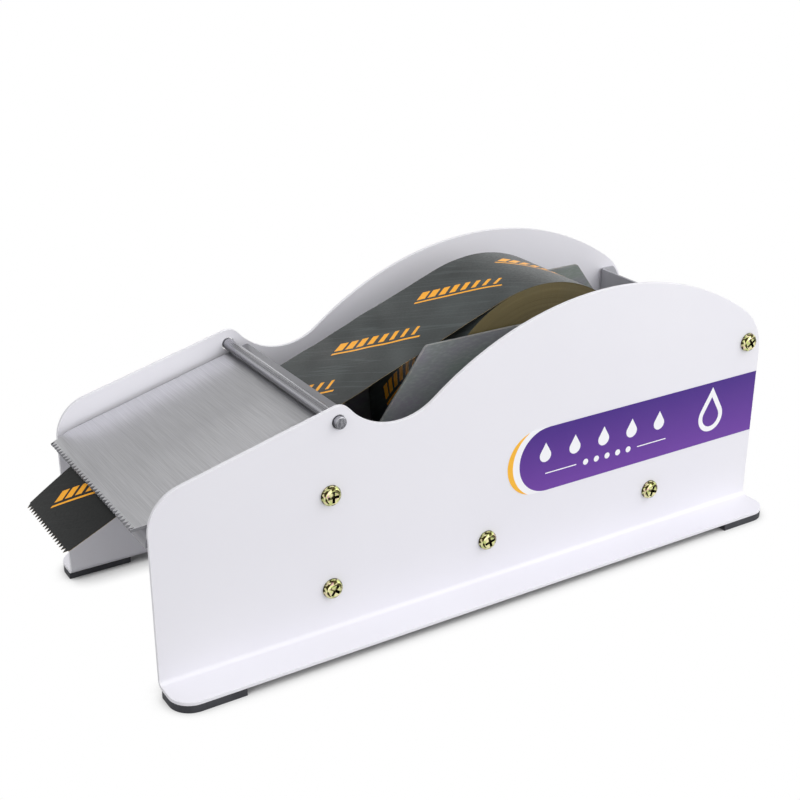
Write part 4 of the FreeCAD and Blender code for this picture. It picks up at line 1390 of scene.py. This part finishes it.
@dataclass
class Studio:
    """White floor and sky, one broad lamp overhead, and a weaker one at each side."""

    floor_half: float = 12.0
    paper: str = "#BCBCBC"
    white: str = "#FFFFFF"
    # The floor is paper where the sky over it, within this reach, is hidden more than the first
    # share, and near the object; it is white from the second share and the second distance on. The
    # paper is greyer than the white, so there it is painted darker, besides the real shadow that
    # falls on it.
    shadow_reach_mm: float = 22.0
    shadow_shares: tuple[float, float] = (0.25, 0.85)
    white_distances: tuple[float, float] = (0.35, 0.8)
    sky_strength: float = 0.42
    # Sines of the heights between which the white wall gives way to the dimmer ceiling.
    wall_top: tuple[float, float] = (0.2, 0.45)
    # Place, diameter and power of each lamp, and the place that they all look at.
    lamps: tuple[tuple[tuple[float, float, float], float, float], ...] = (
        ((-0.4, -1.0, 1.6), 6.0, 63.0),
        ((0.8, -0.65, 0.7), 1.6, 8.0),
        ((0.3, 1.6, 0.3), 0.5, 6.0),
    )
    aim: tuple[float, float, float] = (0.0, 0.0, 0.06)

    def build(self) -> None:
        """Make sky, floor and lamps."""
        bpy.context.scene.view_settings.view_transform = "Standard"
        self.sky()
        self.floor()
        for index, (place, size, power) in enumerate(self.lamps):
            data = bpy.data.lights.new(f"lamp_{index}", "AREA")
            data.shape = "DISK"
            data.size = size
            data.energy = power
            lamp = bpy.data.objects.new(data.name, data)
            lamp.location = place
            lamp.rotation_mode = "QUATERNION"
            lamp.rotation_quaternion = (Vector(self.aim) - lamp.location).to_track_quat("-Z", "Y")
            bpy.context.scene.collection.objects.link(lamp)

    def sky(self) -> None:
        """Make the sky: white for the eye, and for mirrors up to the wall's top, else dimmer."""
        world = bpy.data.worlds.new("studio_sky")
        world.use_nodes = True
        tree = world.node_tree
        tree.nodes.clear()
        up = Pattern(tree).split(add_node(tree, "TexCoord").outputs["Generated"])[2]
        wall = up.between(*self.wall_top, (1.0, 0.0))
        strength = self.seen(tree, wall).between(0.0, 1.0, (self.sky_strength, 1.0))
        sky = add_node(tree, "Background", {"Color": linear(self.white), "Strength": strength})
        add_node(tree, "OutputWorld", {"Surface": sky.outputs[0]})
        bpy.context.scene.world = world

    @staticmethod
    def seen(tree: bpy.types.NodeTree, wall: Signal | float = 1.0) -> Signal:
        """Tell light for the eye, mirrors and glass from light on its way to a surface.

        Args:
            tree: node tree of the background.
            wall: 1 where the white background stands, which mirrors show as white.

        Returns:
            1 for the eye and for what mirrors and glass show it, else 0.
        """
        rays = add_node(tree, "LightPath").outputs
        eye, mirror = Signal(tree, rays["Is Camera Ray"]), Signal(tree, rays["Is Glossy Ray"])
        glass = Signal(tree, rays["Is Transmission Ray"])
        return (eye + mirror * wall + glass).apply("MINIMUM", 1.0)

    def floor(self) -> None:
        """Make the floor: pale paper close to the object, painted greyer than the white and taking
        real shadows, and white elsewhere.
        """
        half = self.floor_half
        corners = [(-half, -half, 0), (half, -half, 0), (half, half, 0), (-half, half, 0)]
        mesh = bpy.data.meshes.new("floor")
        mesh.from_pydata(corners, [], [(0, 1, 2, 3)])
        material = bpy.data.materials.new("white_background_paper")
        material.use_nodes = True
        tree = material.node_tree
        tree.nodes.clear()
        pattern = Pattern(tree)
        away = add_node(tree, "VectorMath", {0: pattern.place}, operation="LENGTH").outputs["Value"]
        # Where the sky is hidden, the greyer paper shows: painted shade, with real shadow on it.
        clear = pattern.open_sky(self.shadow_reach_mm).between(*self.shadow_shares)
        far = Signal(tree, away).between(*self.white_distances).apply("MAXIMUM", clear)
        far = far * self.seen(tree)
        paper = add_node(tree, "BsdfDiffuse", {"Color": linear(self.paper)})
        glow = add_node(tree, "Emission", {"Color": linear(self.white), "Strength": 1.0})
        both = add_node(tree, "MixShader", {0: far, 1: paper.outputs[0], 2: glow.outputs[0]})
        add_node(tree, "OutputMaterial", {"Surface": both.outputs[0]})
        mesh.materials.append(material)
        floor = bpy.data.objects.new("floor", mesh)
        bpy.context.scene.collection.objects.link(floor)


@dataclass
class View:
    """Camera at the front left, looking down along the dispenser."""

    place: tuple[float, float, float] = (-0.4036, -0.6408, 0.4256)
    # Degrees round the object from its label's side, with the front below zero, and up from the
    # floor, and the turn about the lens.
    azimuth: float = -32.016
    elevation: float = 23.236
    roll: float = 0.195
    lens: float = 61.35
    sensor: float = 36.0

    def build(self) -> None:
        """Make the scene's camera."""
        data = bpy.data.cameras.new("camera")
        data.lens = self.lens
        data.sensor_width = self.sensor
        camera = bpy.data.objects.new("camera", data)
        a, e = math.radians(self.azimuth), math.radians(self.elevation)
        back = Vector((math.sin(a) * math.cos(e), -math.cos(a) * math.cos(e), math.sin(e)))
        right = Vector((math.cos(a), math.sin(a), 0))
        turned = Matrix((right, back.cross(right), back)).transposed()
        turned = turned @ Matrix.Rotation(math.radians(self.roll), 3, "Z")
        camera.location = self.place
        camera.rotation_mode = "QUATERNION"
        camera.rotation_quaternion = turned.to_quaternion()
        bpy.context.scene.collection.objects.link(camera)
        bpy.context.scene.camera = camera


def main() -> None:
    """Build the object, the studio and the camera."""
    logging.basicConfig(level=logging.INFO, format="%(message)s")
    path = TapePath()
    for part in (Body(), TapeStrip(path), WoundRoll(path), Studio(), View()):
        part.build()


if __name__ == "__main__":
    main()
